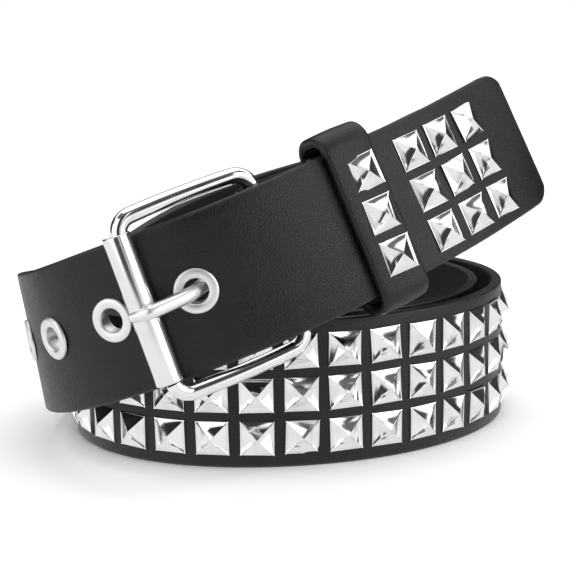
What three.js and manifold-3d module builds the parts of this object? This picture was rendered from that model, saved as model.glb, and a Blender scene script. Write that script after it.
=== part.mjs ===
// A studded leather belt, coiled flat on its lower edge in about three turns, with its buckled end
// drawn round the front and over the coil. Millimetres, +Z up. The buckle faces -Y.
//
// The strap is one ribbon. It is described in polar form round the coil's upright centre line:
// a turn angle that starts at the front and runs clockwise seen from above, a shape table that
// gives the coil's slightly oval outline, and a course table that says, along the ribbon, how many
// layers inside the outline it lies, how high it is lifted and how far it leans.

import * as THREE from 'three';
import { mergeVertices } from 'three/addons/utils/BufferGeometryUtils.js';
import Module from 'manifold-3d';

const wasm = await Module();
wasm.setup();

// Strap and coil
const strapWidth = 38;
const strapThickness = 3;
const coilRadius = 60;
const layerAir = 1.3;
const seatGap = 0.3;

// Pyramid studs in three rows
const studBase = 9;
const studHeight = 2.5;
const studRim = 0.35;
const studDraft = 0.12;
const studPitch = 11.3;
const rowMargin = 3.35;
const studRows = 3;
const columnsBefore = 5;
const columnsAfter = 3;

// Tail, measured along the strap from its tip
const tipCorner = 6.5;
const tipReach = 1.1;
const tipRowShift = -0.6;
const firstTipStud = 18.6;
const tipColumns = 3;
const keeperCentre = 60.6;
const buckleHole = 109.1;
const holePitch = 22.7;
const holeRise = 0.8;
const holeCount = 6;
const studsResume = 243;
const plainEnd = 70;

// Eyelets
const eyeletBore = 6.2;
const eyeletFlange = 11.3;
const eyeletBarrel = 0.55;
const eyeletDome = 0.9;

// Buckle: wire frame, roller on the far bar, prong on the near bar
const wireDiameter = 4.2;
const barDiameter = 3;
const rollerDiameter = 7;
const rollerWall = 0.5;
const rollerLength = 38;
const rollerShift = 0.75;
const rollerRise = 1.35;
const barAir = 0.4;
const prongDiameter = 3.6;
const prongEyeWall = 1.3;
const prongOverhang = 1;
const frameCorner = 4.2;
const frameSideGap = 1.75;
const frameRise = 0.9;
const nearBarAt = 86.3;
const nearBarDrop = 1.1;
const farBarAt = 120.5;

// Folded end of the strap round the near bar, and the keeper loop
const foldWall = 1.5;
const foldLength = 15;
const foldInset = 1.3;
const slotRoom = 0.9;
const underlapStart = 32;
const underlapAir = 0.25;
const underlapFlare = 0.9;
const flareOver = 18;
const underlapRise = 1.2;
const riseFrom = 66;
const riseOver = 13;
const keeperWall = 2.5;
const keeperLength = 14;
const keeperEndRoom = 2.4;
const keeperBackRoom = 2.6;
const keeperCorner = 3;
const keeperStudShift = -1.1;

// Fineness of the facets
const turnStep = 0.25;
const slopeStep = 0.2;
const plainStep = 4.6;
const wireSides = 10;
const tubeSides = 20;
const eyeletSides = 14;

const half = strapThickness / 2;
const halfWidth = strapWidth / 2;
const layerPitch = strapThickness + studHeight + layerAir;
const rowPitch = (strapWidth - 2 * rowMargin - studBase) / (studRows - 1);
const underDepth = strapThickness + seatGap + underlapAir;
const wireRadius = wireDiameter / 2;
const boreRadius = wireRadius + seatGap;
const rollerOuter = rollerDiameter / 2;
const rollerInner = rollerOuter - rollerWall;
const nearBarDepth = half + seatGap + foldWall + boreRadius;
const farBarDepth = half + seatGap + barAir + rollerOuter;

// Outline of the coil: turn angle, radius as a share of the coil radius.
const outline = [
  { turn: 0, reach: 0.997 }, { turn: 15, reach: 1.037 }, { turn: 30, reach: 1.075 },
  { turn: 45, reach: 1.103 }, { turn: 60, reach: 1.112 }, { turn: 75, reach: 1.088 },
  { turn: 90, reach: 1.022 }, { turn: 105, reach: 0.96 }, { turn: 120, reach: 0.93 },
  { turn: 150, reach: 0.93 }, { turn: 180, reach: 0.945 }, { turn: 210, reach: 0.95 },
  { turn: 225, reach: 0.95 }, { turn: 240, reach: 0.952 }, { turn: 255, reach: 0.956 },
  { turn: 270, reach: 0.952 }, { turn: 285, reach: 0.942 }, { turn: 300, reach: 0.935 },
  { turn: 315, reach: 0.936 }, { turn: 330, reach: 0.943 }, { turn: 345, reach: 0.965 },
];

// Tail of the course: layers inside the outline (negative is outside it), lift as a share of the
// strap width, lean of the width direction in degrees (positive leans the top edge inward).
const tailCourse = [
  { turn: -72, layer: -1.08, lift: 1.599, lean: 18.9 },
  { turn: -60, layer: -0.53, lift: 1.503, lean: 19.7 },
  { turn: -48, layer: -0.26, lift: 1.414, lean: 19.4 },
  { turn: -36, layer: -0.21, lift: 1.323, lean: 18.1 },
  { turn: -24, layer: -0.38, lift: 1.233, lean: 15.9 },
  { turn: -12, layer: -0.77, lift: 1.128, lean: 12.7 },
  { turn: 0, layer: -1.39, lift: 1.001, lean: 8.0 },
  { turn: 12, layer: -2.06, lift: 0.853, lean: 2.6 },
  { turn: 24, layer: -2.54, lift: 0.69, lean: -2.0 },
  { turn: 36, layer: -2.61, lift: 0.525, lean: -6.4 },
  { turn: 48, layer: -2.38, lift: 0.376, lean: -9.5 },
  { turn: 60, layer: -1.9, lift: 0.275, lean: -9.5 },
  { turn: 72, layer: -1.45, lift: 0.207, lean: -8.8 },
  { turn: 84, layer: -1.25, lift: 0.146, lean: -7.4 },
  { turn: 98, layer: -1.3, lift: 0.078, lean: -5.5 },
  { turn: 114, layer: -1.22, lift: 0.035, lean: -3.5 },
  { turn: 132, layer: -1.08, lift: 0.014, lean: -1.6 },
  { turn: 150, layer: -0.95, lift: 0.004, lean: -0.2 },
];

// Coil of the course: flat on the ground, then rising inside to meet the back of the tail.
const coilCourse = [
  { turn: 168, layer: -0.8, lift: 0, lean: 0 },
  { turn: 200, layer: -0.5, lift: 0, lean: 0 },
  { turn: 235, layer: -0.18, lift: 0, lean: 0 },
  { turn: 270, layer: 0, lift: 0, lean: 0 },
  { turn: 315, layer: 0, lift: 0, lean: 0 },
  { turn: 360, layer: 0, lift: 0, lean: 0 },
  { turn: 405, layer: 0, lift: 0, lean: 0 },
  { turn: 450, layer: 0, lift: 0, lean: 0 },
  { turn: 490, layer: 0.1, lift: 0, lean: 0 },
  { turn: 528, layer: 0.3, lift: 0, lean: 0 },
  { turn: 560, layer: 0.58, lift: 0, lean: 0 },
  { turn: 595, layer: 0.86, lift: 0, lean: 0 },
  { turn: 630, layer: 1, lift: 0, lean: 0 },
  { turn: 675, layer: 1, lift: 0, lean: 0 },
  { turn: 720, layer: 1, lift: 0, lean: 0 },
  { turn: 745, layer: 1.04, lift: 0.004, lean: 0 },
  { turn: 770, layer: 1.09, lift: 0.08, lean: 0 },
  { turn: 795, layer: 1.15, lift: 0.19, lean: 0 },
  { turn: 820, layer: 1.2, lift: 0.31, lean: 0 },
  { turn: 850, layer: 1.27, lift: 0.47, lean: 1 },
  { turn: 880, layer: 1.38, lift: 0.63, lean: 3 },
  { turn: 910, layer: 1.7, lift: 0.8, lean: 5 },
  { turn: 940, layer: 2.05, lift: 0.97, lean: 8 },
  { turn: 970, layer: 2.2, lift: 1.14, lean: 12 },
  { turn: 998, layer: 1.75, lift: 1.3, lean: 16 },
];

const firstTurn = tailCourse[0].turn;
const tailEndTurn = 200;
const lastTurn = 3 * 360;
const tailStep = 6;

// Natural cubic spline through the points (xs, ys), returned as a function of x.
function spline(xs, ys) {
  const n = xs.length;
  const curve = new Array(n).fill(0);
  const work = new Array(n).fill(0);
  for (let i = 1; i < n - 1; i += 1) {
    const before = xs[i] - xs[i - 1];
    const after = xs[i + 1] - xs[i];
    const pivot = 2 * (before + after) - before * work[i - 1];
    const jump = (ys[i + 1] - ys[i]) / after - (ys[i] - ys[i - 1]) / before;
    work[i] = after / pivot;
    curve[i] = (6 * jump - before * curve[i - 1]) / pivot;
  }
  for (let i = n - 2; i > 0; i -= 1) {
    curve[i] -= work[i] * curve[i + 1];
  }
  return (x) => {
    let i = 0;
    while (i < n - 2 && x > xs[i + 1]) {
      i += 1;
    }
    const step = xs[i + 1] - xs[i];
    const b = (x - xs[i]) / step;
    const a = 1 - b;
    const bend = ((a ** 3 - a) * curve[i] + (b ** 3 - b) * curve[i + 1]) * (step * step) / 6;
    return a * ys[i] + b * ys[i + 1] + bend;
  };
}

const wrapped = [-2, -1, 0, 1, 2].flatMap((lap) => outline.map((row) => (
  { turn: row.turn + 360 * lap, reach: row.reach })));
const outlineAt = spline(wrapped.map((row) => row.turn), wrapped.map((row) => row.reach));
const outlineRadius = (turn) => {
  const lap = Math.floor(turn / 360);
  return coilRadius * outlineAt(turn - 360 * lap);
};

// Frame of a ribbon course at one turn angle: centre point p, direction t toward the hidden end,
// width direction w and outward normal n.
function courseFrame(course, turn) {
  const pointAt = (angle) => {
    const a = THREE.MathUtils.degToRad(angle);
    const radius = course.radius(angle);
    const height = Math.max(course.height(angle), halfWidth);
    return new THREE.Vector3(-radius * Math.sin(a), -radius * Math.cos(a), height);
  };
  const p = pointAt(turn);
  const t = pointAt(turn + slopeStep).sub(pointAt(turn - slopeStep)).normalize();
  const upright = new THREE.Vector3(0, 0, 1);
  upright.addScaledVector(t, -t.z).normalize();
  const outward = new THREE.Vector3().crossVectors(upright, t);
  const lean = THREE.MathUtils.degToRad(course.lean(turn));
  const w = upright.clone().multiplyScalar(Math.cos(lean)).addScaledVector(outward, -Math.sin(lean));
  const n = outward.multiplyScalar(Math.cos(lean)).addScaledVector(upright, Math.sin(lean));
  return { p, t, w, n };
}

function courseFrom(rows) {
  const turns = rows.map((row) => row.turn);
  return {
    radius: spline(turns, rows.map((row) => row.radius)),
    height: spline(turns, rows.map((row) => row.height)),
    lean: spline(turns, rows.map((row) => row.lean)),
  };
}

const tableRow = (row) => ({
  turn: row.turn,
  radius: outlineRadius(row.turn) - row.layer * layerPitch,
  height: strapWidth * (0.5 + row.lift),
  lean: row.lean,
});

// Points along a course at even turn steps, each with its distance from the start.
function measured(course, from, to) {
  const samples = [];
  const count = Math.ceil((to - from) / turnStep);
  for (let i = 0; i <= count; i += 1) {
    const frame = courseFrame(course, from + (to - from) * i / count);
    frame.turn = from + (to - from) * i / count;
    frame.s = i === 0 ? 0 : samples[i - 1].s + frame.p.distanceTo(samples[i - 1].p);
    samples.push(frame);
  }
  return samples;
}

// Frame at a distance along measured samples.
function alongSamples(samples, s) {
  let low = 0;
  let high = samples.length - 1;
  while (high - low > 1) {
    const middle = (low + high) >> 1;
    if (samples[middle].s > s) {
      high = middle;
    } else {
      low = middle;
    }
  }
  const a = samples[low];
  const b = samples[high];
  const share = (s - a.s) / (b.s - a.s);
  const p = a.p.clone().lerp(b.p, share);
  const t = a.t.clone().lerp(b.t, share).normalize();
  const w = a.w.clone().lerp(b.w, share);
  w.addScaledVector(t, -w.dot(t)).normalize();
  const n = new THREE.Vector3().crossVectors(w, t);
  return { p, t, w, n };
}

// The tail alone, used to lay the underlap behind it at an even depth.
const tailRows = tailCourse.map(tableRow);
const coilRows = coilCourse.map(tableRow);
const tailSamples = measured(courseFrom(tailRows.concat(coilRows.slice(0, 3))), firstTurn, tailEndTurn);
const tailAt = (s) => alongSamples(tailSamples, s);

// A point given by distance along the tail, height across its width and depth outward.
function tailPoint(s, across, outward) {
  const frame = tailAt(s);
  return frame.p.clone().addScaledVector(frame.w, across).addScaledVector(frame.n, outward);
}

// The strap behind the tail stands a little higher than the tail between the keeper and the buckle.
const riseAt = (s) => {
  const share = THREE.MathUtils.clamp((s - riseFrom) / riseOver, 0, 1);
  return underlapRise * share * share * (3 - 2 * share);
};

// It leaves the tail's back gently where it comes in.
const depthAt = (s) => {
  const share = THREE.MathUtils.clamp((s - underlapStart) / flareOver, 0, 1);
  return underDepth + underlapFlare * (1 - share) ** 2;
};

const underlapRows = [];
for (let s = underlapStart; s <= nearBarAt + tailStep; s += tailStep) {
  const point = tailPoint(s, riseAt(s), -depthAt(s));
  const turn = THREE.MathUtils.radToDeg(Math.atan2(-point.x, -point.y));
  const near = tailSamples.reduce((best, row) => (
    Math.abs(row.s - s) < Math.abs(best.s - s) ? row : best));
  underlapRows.push({
    turn: lastTurn + turn,
    radius: Math.hypot(point.x, point.y),
    height: point.z,
    lean: courseFrom(tailRows).lean(near.turn),
  });
}

const ribbonRows = tailRows.concat(coilRows, underlapRows);
const ribbonLastTurn = underlapRows[underlapRows.length - 1].turn;
const ribbonSamples = measured(courseFrom(ribbonRows), firstTurn, ribbonLastTurn);
const ribbonAt = (s) => alongSamples(ribbonSamples, s);
const ribbonDistance = (turn) => ribbonSamples.find((row) => row.turn >= turn).s;

// The strap stops just short of the near bar, inside the folded eye.
const eyeJoin = tailPoint(nearBarAt - boreRadius - foldWall, underlapRise, -underDepth);
const ribbonEnd = ribbonSamples.filter((row) => row.turn > lastTurn + firstTurn).reduce((best, row) => (
  row.p.distanceTo(eyeJoin) < best.p.distanceTo(eyeJoin) ? row : best)).s;

// Closed solid from points and triangles; the triangles are turned over when they face inward.
function solid(points, faces) {
  const volume = faces.reduce((sum, [a, b, c]) => (
    sum + points[a].dot(new THREE.Vector3().crossVectors(points[b], points[c]))), 0);
  const facing = volume < 0 ? faces.map(([a, b, c]) => [a, c, b]) : faces;
  const geometry = new THREE.BufferGeometry();
  const places = points.flatMap((v) => [v.x, v.y, v.z]);
  geometry.setAttribute('position', new THREE.Float32BufferAttribute(places, 3));
  geometry.setIndex(facing.flat());
  return geometry;
}

// Closed solid through rings of equal count, with flat end caps.
function loft(rings, closed = false) {
  const count = rings[0].length;
  const faces = [];
  const last = closed ? rings.length : rings.length - 1;
  for (let i = 0; i < last; i += 1) {
    const here = i * count;
    const next = ((i + 1) % rings.length) * count;
    for (let k = 0; k < count; k += 1) {
      const side = (k + 1) % count;
      faces.push([here + k, next + side, next + k], [here + k, here + side, next + side]);
    }
  }
  if (!closed) {
    const end = (rings.length - 1) * count;
    for (let k = 1; k < count - 1; k += 1) {
      faces.push([0, k + 1, k], [end, end + k, end + k + 1]);
    }
  }
  return solid(rings.flat(), faces);
}

function toManifold(geometry) {
  const bare = geometry.clone();
  bare.deleteAttribute('normal');
  bare.deleteAttribute('uv');
  const merged = mergeVertices(bare, 1e-5);
  return new wasm.Manifold(new wasm.Mesh({
    numProp: 3,
    vertProperties: new Float32Array(merged.attributes.position.array),
    triVerts: new Uint32Array(merged.index.array),
  }));
}

function toGeometry(body) {
  const mesh = body.getMesh();
  const geometry = new THREE.BufferGeometry();
  geometry.setAttribute('position', new THREE.Float32BufferAttribute(mesh.vertProperties, 3));
  geometry.setIndex(Array.from(mesh.triVerts));
  return geometry;
}

// Stud columns on the coil: one column sits at the very front, the others follow at the pitch.
const frontAt = ribbonDistance(360);
const firstColumn = frontAt - Math.floor((frontAt - studsResume) / studPitch) * studPitch;
const studColumns = [];
for (let s = firstColumn; s < ribbonEnd - plainEnd; s += studPitch) {
  const place = Math.round((s - frontAt) / studPitch);
  studColumns.push({ s, loose: place >= -columnsBefore && place <= columnsAfter });
}

// Levels across the width: both edges and the two sides of every stud row.
const levels = [-halfWidth];
for (let row = 0; row < studRows; row += 1) {
  const centre = (row - (studRows - 1) / 2) * rowPitch;
  levels.push(centre - studBase / 2, centre + studBase / 2);
}
levels.push(halfWidth);

// Stations along the ribbon: the rounded tip, even steps on plain leather, and the two sides of
// every stud column.
const stations = [];
for (const share of [0, 0.1, 0.3, 0.6, 1]) {
  const s = tipCorner * share;
  const cut = tipCorner - Math.sqrt(Math.max(0, tipCorner ** 2 - (tipCorner - s) ** 2));
  stations.push({ s: s - tipReach, reach: (halfWidth - cut) / halfWidth });
}
const plainUntil = firstColumn - studBase / 2 - plainStep / 2;
for (let s = tipCorner - tipReach + plainStep; s < plainUntil; s += plainStep) {
  stations.push({ s, reach: 1 });
}
for (const column of studColumns) {
  stations.push({ s: column.s - studBase / 2, reach: 1, raised: !column.loose, middle: column.s });
  stations.push({ s: column.s + studBase / 2, reach: 1 });
}
const lastStud = stations[stations.length - 1].s;
for (let s = lastStud + plainStep; s < ribbonEnd - plainStep / 2; s += plainStep) {
  stations.push({ s, reach: 1 });
}
stations.push({ s: ribbonEnd, reach: 1 });

// The strap: an outer face with one strip per level, a back face, and studs raised on it.
function strapSolid() {
  const points = [];
  const faces = [];
  const ringSize = levels.length + 2;
  for (const station of stations) {
    const { p, w, n } = ribbonAt(station.s);
    for (const level of levels) {
      points.push(p.clone().addScaledVector(w, level * station.reach).addScaledVector(n, half));
    }
    for (const side of [1, -1]) {
      points.push(p.clone().addScaledVector(w, side * halfWidth * station.reach).addScaledVector(n, -half));
    }
  }
  const apexOf = (s, level) => {
    const { p, w, n } = ribbonAt(s);
    const across = (levels[level] + levels[level + 1]) / 2;
    points.push(p.clone().addScaledVector(w, across).addScaledVector(n, half + studHeight));
    return points.length - 1;
  };
  for (let i = 0; i < stations.length - 1; i += 1) {
    const a = i * ringSize;
    const b = a + ringSize;
    for (let k = 0; k < ringSize; k += 1) {
      const next = (k + 1) % ringSize;
      const studded = k % 2 === 1 && k < levels.length - 1 && stations[i].raised;
      if (!studded) {
        faces.push([a + k, a + next, b + next], [a + k, b + next, b + k]);
      }
    }
    for (let k = 1; stations[i].raised && k < levels.length - 1; k += 2) {
      const apex = apexOf(stations[i].middle, k);
      const rim = [a + k, a + k + 1, b + k + 1, b + k];
      rim.forEach((from, j) => faces.push([from, rim[(j + 1) % rim.length], apex]));
    }
  }
  const end = (stations.length - 1) * ringSize;
  for (let k = 1; k < ringSize - 1; k += 1) {
    faces.push([0, k + 1, k], [end, end + k, end + k + 1]);
  }
  return solid(points, faces);
}

// Round bar or hole between two points.
function roundBar(from, to, radius, sides = tubeSides) {
  const axis = to.clone().sub(from);
  const geometry = new THREE.CylinderGeometry(radius, radius, axis.length(), sides);
  const upright = new THREE.Vector3(0, 1, 0);
  geometry.applyQuaternion(new THREE.Quaternion().setFromUnitVectors(upright, axis.clone().normalize()));
  const middle = from.clone().add(to).multiplyScalar(0.5);
  geometry.translate(middle.x, middle.y, middle.z);
  return geometry;
}

// Buckle frame axes: w along the bars, u from the near bar to the far bar, n outward.
const nearBar = tailPoint(nearBarAt, -nearBarDrop, -nearBarDepth);
const farBar = tailPoint(farBarAt, 0, farBarDepth);
const buckleW = tailAt(nearBarAt).w.clone().add(tailAt(farBarAt).w);
const buckleU = farBar.clone().sub(nearBar).normalize();
buckleW.addScaledVector(buckleU, -buckleW.dot(buckleU)).normalize();
const buckleN = new THREE.Vector3().crossVectors(buckleW, buckleU);
const barGap = farBar.distanceTo(nearBar);

const barPoint = (bar, across) => bar.clone().addScaledVector(buckleW, across);

// Round hole along a bar, longer than any piece that it passes through.
const boreAlong = (bar, radius) => (
  toManifold(roundBar(barPoint(bar, -strapWidth), barPoint(bar, strapWidth), radius)));

// The folded eye: a teardrop in distance and depth, laid along the back of the tail.
function eyeSolid() {
  const centre = { s: nearBarAt, n: -nearBarDepth };
  const radius = boreRadius + foldWall;
  const profile = [];
  for (let k = 0; k <= 10; k += 1) {
    const a = Math.PI / 2 - Math.PI * k / 10;
    profile.push([centre.s + radius * Math.cos(a), centre.n + radius * Math.sin(a)]);
  }
  const inner = -half - seatGap - strapThickness;
  const low = centre.n - radius;
  profile.push([nearBarAt - foldLength * 0.35, low + (inner - low) * 0.3]);
  profile.push([nearBarAt - foldLength * 0.7, low + (inner - low) * 0.8]);
  profile.push([nearBarAt - foldLength, inner]);
  for (const share of [1, 0.66, 0.33]) {
    profile.push([nearBarAt - foldLength * share, -half - seatGap]);
  }
  const reach = halfWidth - foldInset;
  const rings = [-reach, reach].map((across) => profile.map(([s, n]) => (
    tailPoint(s, across + underlapRise, n))));
  return toManifold(loft(rings));
}

const holes = Array.from({ length: holeCount }, (_, i) => buckleHole + i * holePitch);
const barrelRadius = eyeletBore / 2 + eyeletBarrel;

let strapBody = toManifold(strapSolid()).add(eyeSolid());
strapBody = strapBody.subtract(boreAlong(nearBar, boreRadius));
const slotHalf = prongDiameter / 2 + seatGap;
const slotFrom = nearBarAt - boreRadius - prongEyeWall - slotRoom;
const slotTo = nearBarAt + boreRadius + foldWall + slotRoom;
const slotFloor = -nearBarDepth - boreRadius - foldWall - slotRoom;
const slotCorners = [-1, 1].map((side) => [
  tailPoint(slotFrom, holeRise + side * slotHalf, -half - seatGap / 2),
  tailPoint(slotTo, holeRise + side * slotHalf, -half - seatGap / 2),
  tailPoint(slotTo, holeRise + side * slotHalf, slotFloor),
  tailPoint(slotFrom, holeRise + side * slotHalf, slotFloor),
]);
strapBody = strapBody.subtract(toManifold(loft(slotCorners)));
for (const s of holes) {
  const ends = [-half - 1, half + 1].map((depth) => tailPoint(s, holeRise, depth));
  const hole = roundBar(ends[0], ends[1], barrelRadius + seatGap);
  strapBody = strapBody.subtract(toManifold(hole));
}

// Materials, one for each sub-part
const paint = (color, roughness, metalness) => (
  new THREE.MeshStandardMaterial({ color, roughness, metalness, flatShading: true }));

const group = new THREE.Group();
group.name = 'studded_belt';

function addPart(name, geometry, material) {
  const flat = geometry.index ? geometry.toNonIndexed() : geometry.clone();
  const merged = mergeVertices(flat, 1e-6);
  merged.computeVertexNormals();
  const mesh = new THREE.Mesh(merged, material);
  mesh.name = name;
  group.add(mesh);
  return mesh;
}

// Place a part made round its own origin, with its x along t, y along w and z along n.
function place(mesh, frame, outward) {
  const basis = new THREE.Matrix4().makeBasis(frame.t.clone(), frame.w.clone(), frame.n.clone());
  if (basis.determinant() < 0) {
    basis.makeBasis(frame.t.clone().negate(), frame.w.clone(), frame.n.clone());
  }
  mesh.quaternion.setFromRotationMatrix(basis);
  mesh.position.copy(frame.p).addScaledVector(frame.n, outward);
}

addPart('strap', toGeometry(strapBody), paint(0x2b2b2e, 0.55, 0));

// Pyramid stud: a square plate with a low rim and a point
function studGeometry() {
  const side = studBase / 2;
  const inset = side - studDraft;
  const square = (x, z) => [[-x, -x], [x, -x], [x, x], [-x, x]].map(([a, b]) => (
    new THREE.Vector3(a, b, z)));
  const points = [...square(side, 0), ...square(inset, studRim), new THREE.Vector3(0, 0, studHeight)];
  const faces = [[0, 2, 1], [0, 3, 2]];
  for (let k = 0; k < 4; k += 1) {
    const next = (k + 1) % 4;
    faces.push([k, next, 4 + next], [k, 4 + next, 4 + k], [4 + k, 4 + next, 8]);
  }
  return solid(points, faces);
}

function addStud(name, frame, across, outward) {
  const mesh = addPart(name, studGeometry(), paint(0xe8e8ea, 0.18, 1));
  const centred = { ...frame, p: frame.p.clone().addScaledVector(frame.w, across) };
  place(mesh, centred, outward);
}

const rowLevel = (row) => ((studRows - 1) / 2 - row) * rowPitch;
let columnNumber = 0;
for (const column of studColumns.filter((each) => each.loose)) {
  columnNumber += 1;
  for (let row = 0; row < studRows; row += 1) {
    addStud(`coil_stud_${columnNumber}_${row + 1}`, ribbonAt(column.s), rowLevel(row), half + seatGap);
  }
}
for (let column = 0; column < tipColumns; column += 1) {
  for (let row = 0; row < studRows; row += 1) {
    const frame = tailAt(firstTipStud + column * studPitch);
    addStud(`tip_stud_${column + 1}_${row + 1}`, frame, rowLevel(row) + tipRowShift, half + seatGap);
  }
}

// Keeper loop: a rounded band round the tail and the strap behind it
function keeperSolid() {
  const outerDepth = half + seatGap + keeperWall;
  const innerDepth = half + seatGap;
  const backInner = -half - seatGap - strapThickness - keeperBackRoom;
  const backOuter = backInner - keeperWall;
  const ring = (top, bottom, reach, corner, s) => {
    const points = [];
    for (let quarter = 0; quarter < 4; quarter += 1) {
      const across = (quarter === 0 || quarter === 3 ? 1 : -1) * (reach - corner);
      const depth = quarter < 2 ? top - corner : bottom + corner;
      for (let k = 0; k <= 4; k += 1) {
        const a = (Math.PI / 2) * (quarter + k / 4);
        points.push(tailPoint(s, across + corner * Math.cos(a), depth + corner * Math.sin(a)));
      }
    }
    return points;
  };
  const outer = [];
  const inner = [];
  for (const share of [-0.5, -0.17, 0.17, 0.5]) {
    const s = keeperCentre + share * keeperLength;
    const reach = halfWidth + keeperEndRoom + keeperWall;
    outer.push(ring(outerDepth, backOuter, reach, keeperCorner + keeperWall, s));
  }
  for (const share of [-0.6, -0.5, -0.17, 0.17, 0.5, 0.6]) {
    const s = keeperCentre + share * keeperLength;
    inner.push(ring(innerDepth, backInner, halfWidth + keeperEndRoom, keeperCorner, s));
  }
  return toManifold(loft(outer)).subtract(toManifold(loft(inner)));
}
addPart('keeper', toGeometry(keeperSolid()), paint(0x3a3a40, 0.5, 0));
for (let row = 0; row < studRows; row += 1) {
  const outward = half + seatGap + keeperWall + seatGap;
  addStud(`keeper_stud_${row + 1}`, tailAt(keeperCentre + keeperStudShift), rowLevel(row), outward);
}

// Eyelets: a turned ring with a domed front flange, a barrel through the strap and a back flange
function eyeletGeometry() {
  const bore = eyeletBore / 2;
  const flange = eyeletFlange / 2;
  const front = half + seatGap;
  const back = -half - seatGap - 0.2;
  const profile = [
    [bore, back - 0.5], [flange - 1, back - 0.5], [flange - 1, back], [barrelRadius, back],
    [barrelRadius, front], [flange, front], [flange - 0.35, front + eyeletDome * 0.7],
    [(bore + flange) / 2, front + eyeletDome], [bore, front + eyeletDome * 0.5],
  ];
  const rings = Array.from({ length: eyeletSides }, (_, i) => {
    const a = 2 * Math.PI * i / eyeletSides;
    return profile.map(([r, z]) => new THREE.Vector3(r * Math.cos(a), r * Math.sin(a), z));
  });
  return loft(rings, true);
}
holes.forEach((s, i) => {
  const mesh = addPart(`eyelet_${i + 1}`, eyeletGeometry(), paint(0xd9dadc, 0.3, 1));
  const frame = tailAt(s);
  place(mesh, { ...frame, p: tailPoint(s, holeRise, 0) }, 0);
});

// Round section swept along a path, each path point with its own radius.
function sweep(path, closed, sides = wireSides) {
  const count = path.length;
  const rings = path.map((here, i) => {
    const before = path[closed ? (i + count - 1) % count : Math.max(0, i - 1)].p;
    const after = path[closed ? (i + 1) % count : Math.min(count - 1, i + 1)].p;
    const along = after.clone().sub(before).normalize();
    const sideways = here.side.clone().addScaledVector(along, -here.side.dot(along)).normalize();
    const third = new THREE.Vector3().crossVectors(along, sideways);
    return Array.from({ length: sides }, (_, k) => {
      const a = 2 * Math.PI * (k + 0.5) / sides;
      return here.p.clone().addScaledVector(sideways, here.radius * Math.cos(a))
        .addScaledVector(third, here.radius * (here.flat ?? 1) * Math.sin(a));
    });
  });
  return loft(rings, closed);
}

// Buckle frame: a rounded rectangle of wire, thinner where the roller turns on it
const frameHalfHeight = halfWidth + frameSideGap + wireRadius;
function frameSolid() {
  const centre = nearBar.clone().add(farBar).multiplyScalar(0.5);
  const rollerTop = rollerRise - frameRise + rollerLength / 2 + seatGap;
  const rollerFoot = rollerRise - frameRise - rollerLength / 2 - seatGap;
  const spots = [];
  const spot = (u, w) => {
    const inRoller = u > 0 && w < rollerTop && w > rollerFoot;
    spots.push({
      p: centre.clone().addScaledVector(buckleU, u).addScaledVector(buckleW, w + frameRise),
      side: buckleN,
      radius: inRoller ? barDiameter / 2 : wireRadius,
    });
  };
  const corner = (u, w, start) => {
    for (let k = 0; k <= 5; k += 1) {
      const a = start + (Math.PI / 2) * k / 5;
      spot(u + frameCorner * Math.cos(a), w + frameCorner * Math.sin(a));
    }
  };
  const u = barGap / 2 - frameCorner;
  const w = frameHalfHeight - frameCorner;
  spot(barGap / 2, 0);
  corner(u, w, 0);
  spot(0, frameHalfHeight);
  corner(-u, w, Math.PI / 2);
  corner(-u, -w, Math.PI);
  spot(0, -frameHalfHeight);
  corner(u, -w, 1.5 * Math.PI);
  return sweep(spots, true);
}
addPart('buckle_frame', frameSolid(), paint(0xe6e6e8, 0.15, 1));

// Roller on the far bar
const rollerAxis = farBar.clone().addScaledVector(buckleU, rollerShift);
const rollerEnds = [-1, 1].map((side) => barPoint(rollerAxis, rollerRise + side * rollerLength / 2));
const rollerBody = toManifold(roundBar(rollerEnds[0], rollerEnds[1], rollerOuter))
  .subtract(boreAlong(rollerAxis, rollerInner));
addPart('roller', toGeometry(rollerBody), paint(0xcfd0d2, 0.35, 1));

// Prong: an eye on the near bar, up through the buckle hole, over the strap and the roller
function prongSolid() {
  const radius = prongDiameter / 2;
  const over = farBarDepth + rollerOuter + seatGap + radius;
  const rollerAt = farBarAt + rollerShift;
  const route = [
    { s: nearBarAt + 3, n: -nearBarDepth - 0.9 }, { s: nearBarAt + 8, n: -nearBarDepth - 1 },
    { s: buckleHole - 4.6, n: -nearBarDepth - 0.2 }, { s: buckleHole - 1.5, n: -half - 2.3 },
    { s: buckleHole - 0.4, n: -0.6 }, { s: buckleHole + 0.6, n: half + 0.9 },
    { s: buckleHole + 1.9, n: half + 2.9 }, { s: rollerAt - rollerOuter + 0.4, n: over - 0.3 },
    { s: rollerAt - 1.6, n: over + 0.35 }, { s: rollerAt + prongOverhang, n: over + 0.4 },
  ];
  const side = tailAt(buckleHole).w;
  const spots = route.map(({ s, n }, i) => ({
    p: tailPoint(s, holeRise, n), side, radius: i === route.length - 1 ? radius * 0.8 : radius }));
  const reach = radius - 0.1;
  const eyeEnds = [-reach, reach].map((across) => barPoint(nearBar, nearBarDrop + holeRise + across));
  const eye = toManifold(roundBar(eyeEnds[0], eyeEnds[1], boreRadius + prongEyeWall));
  return toManifold(sweep(spots, false)).add(eye).subtract(boreAlong(nearBar, boreRadius));
}
addPart('prong', toGeometry(prongSolid()), paint(0xdfe0e2, 0.22, 1));

// Stand the whole on the ground, centred under its box.
group.updateMatrixWorld(true);
const box = new THREE.Box3().setFromObject(group, true);
const middle = box.getCenter(new THREE.Vector3());
const shift = new THREE.Vector3(-middle.x, -middle.y, -box.min.z);
for (const mesh of group.children) {
  mesh.position.add(shift);
}

export default group;
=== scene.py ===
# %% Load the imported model
import math

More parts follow.
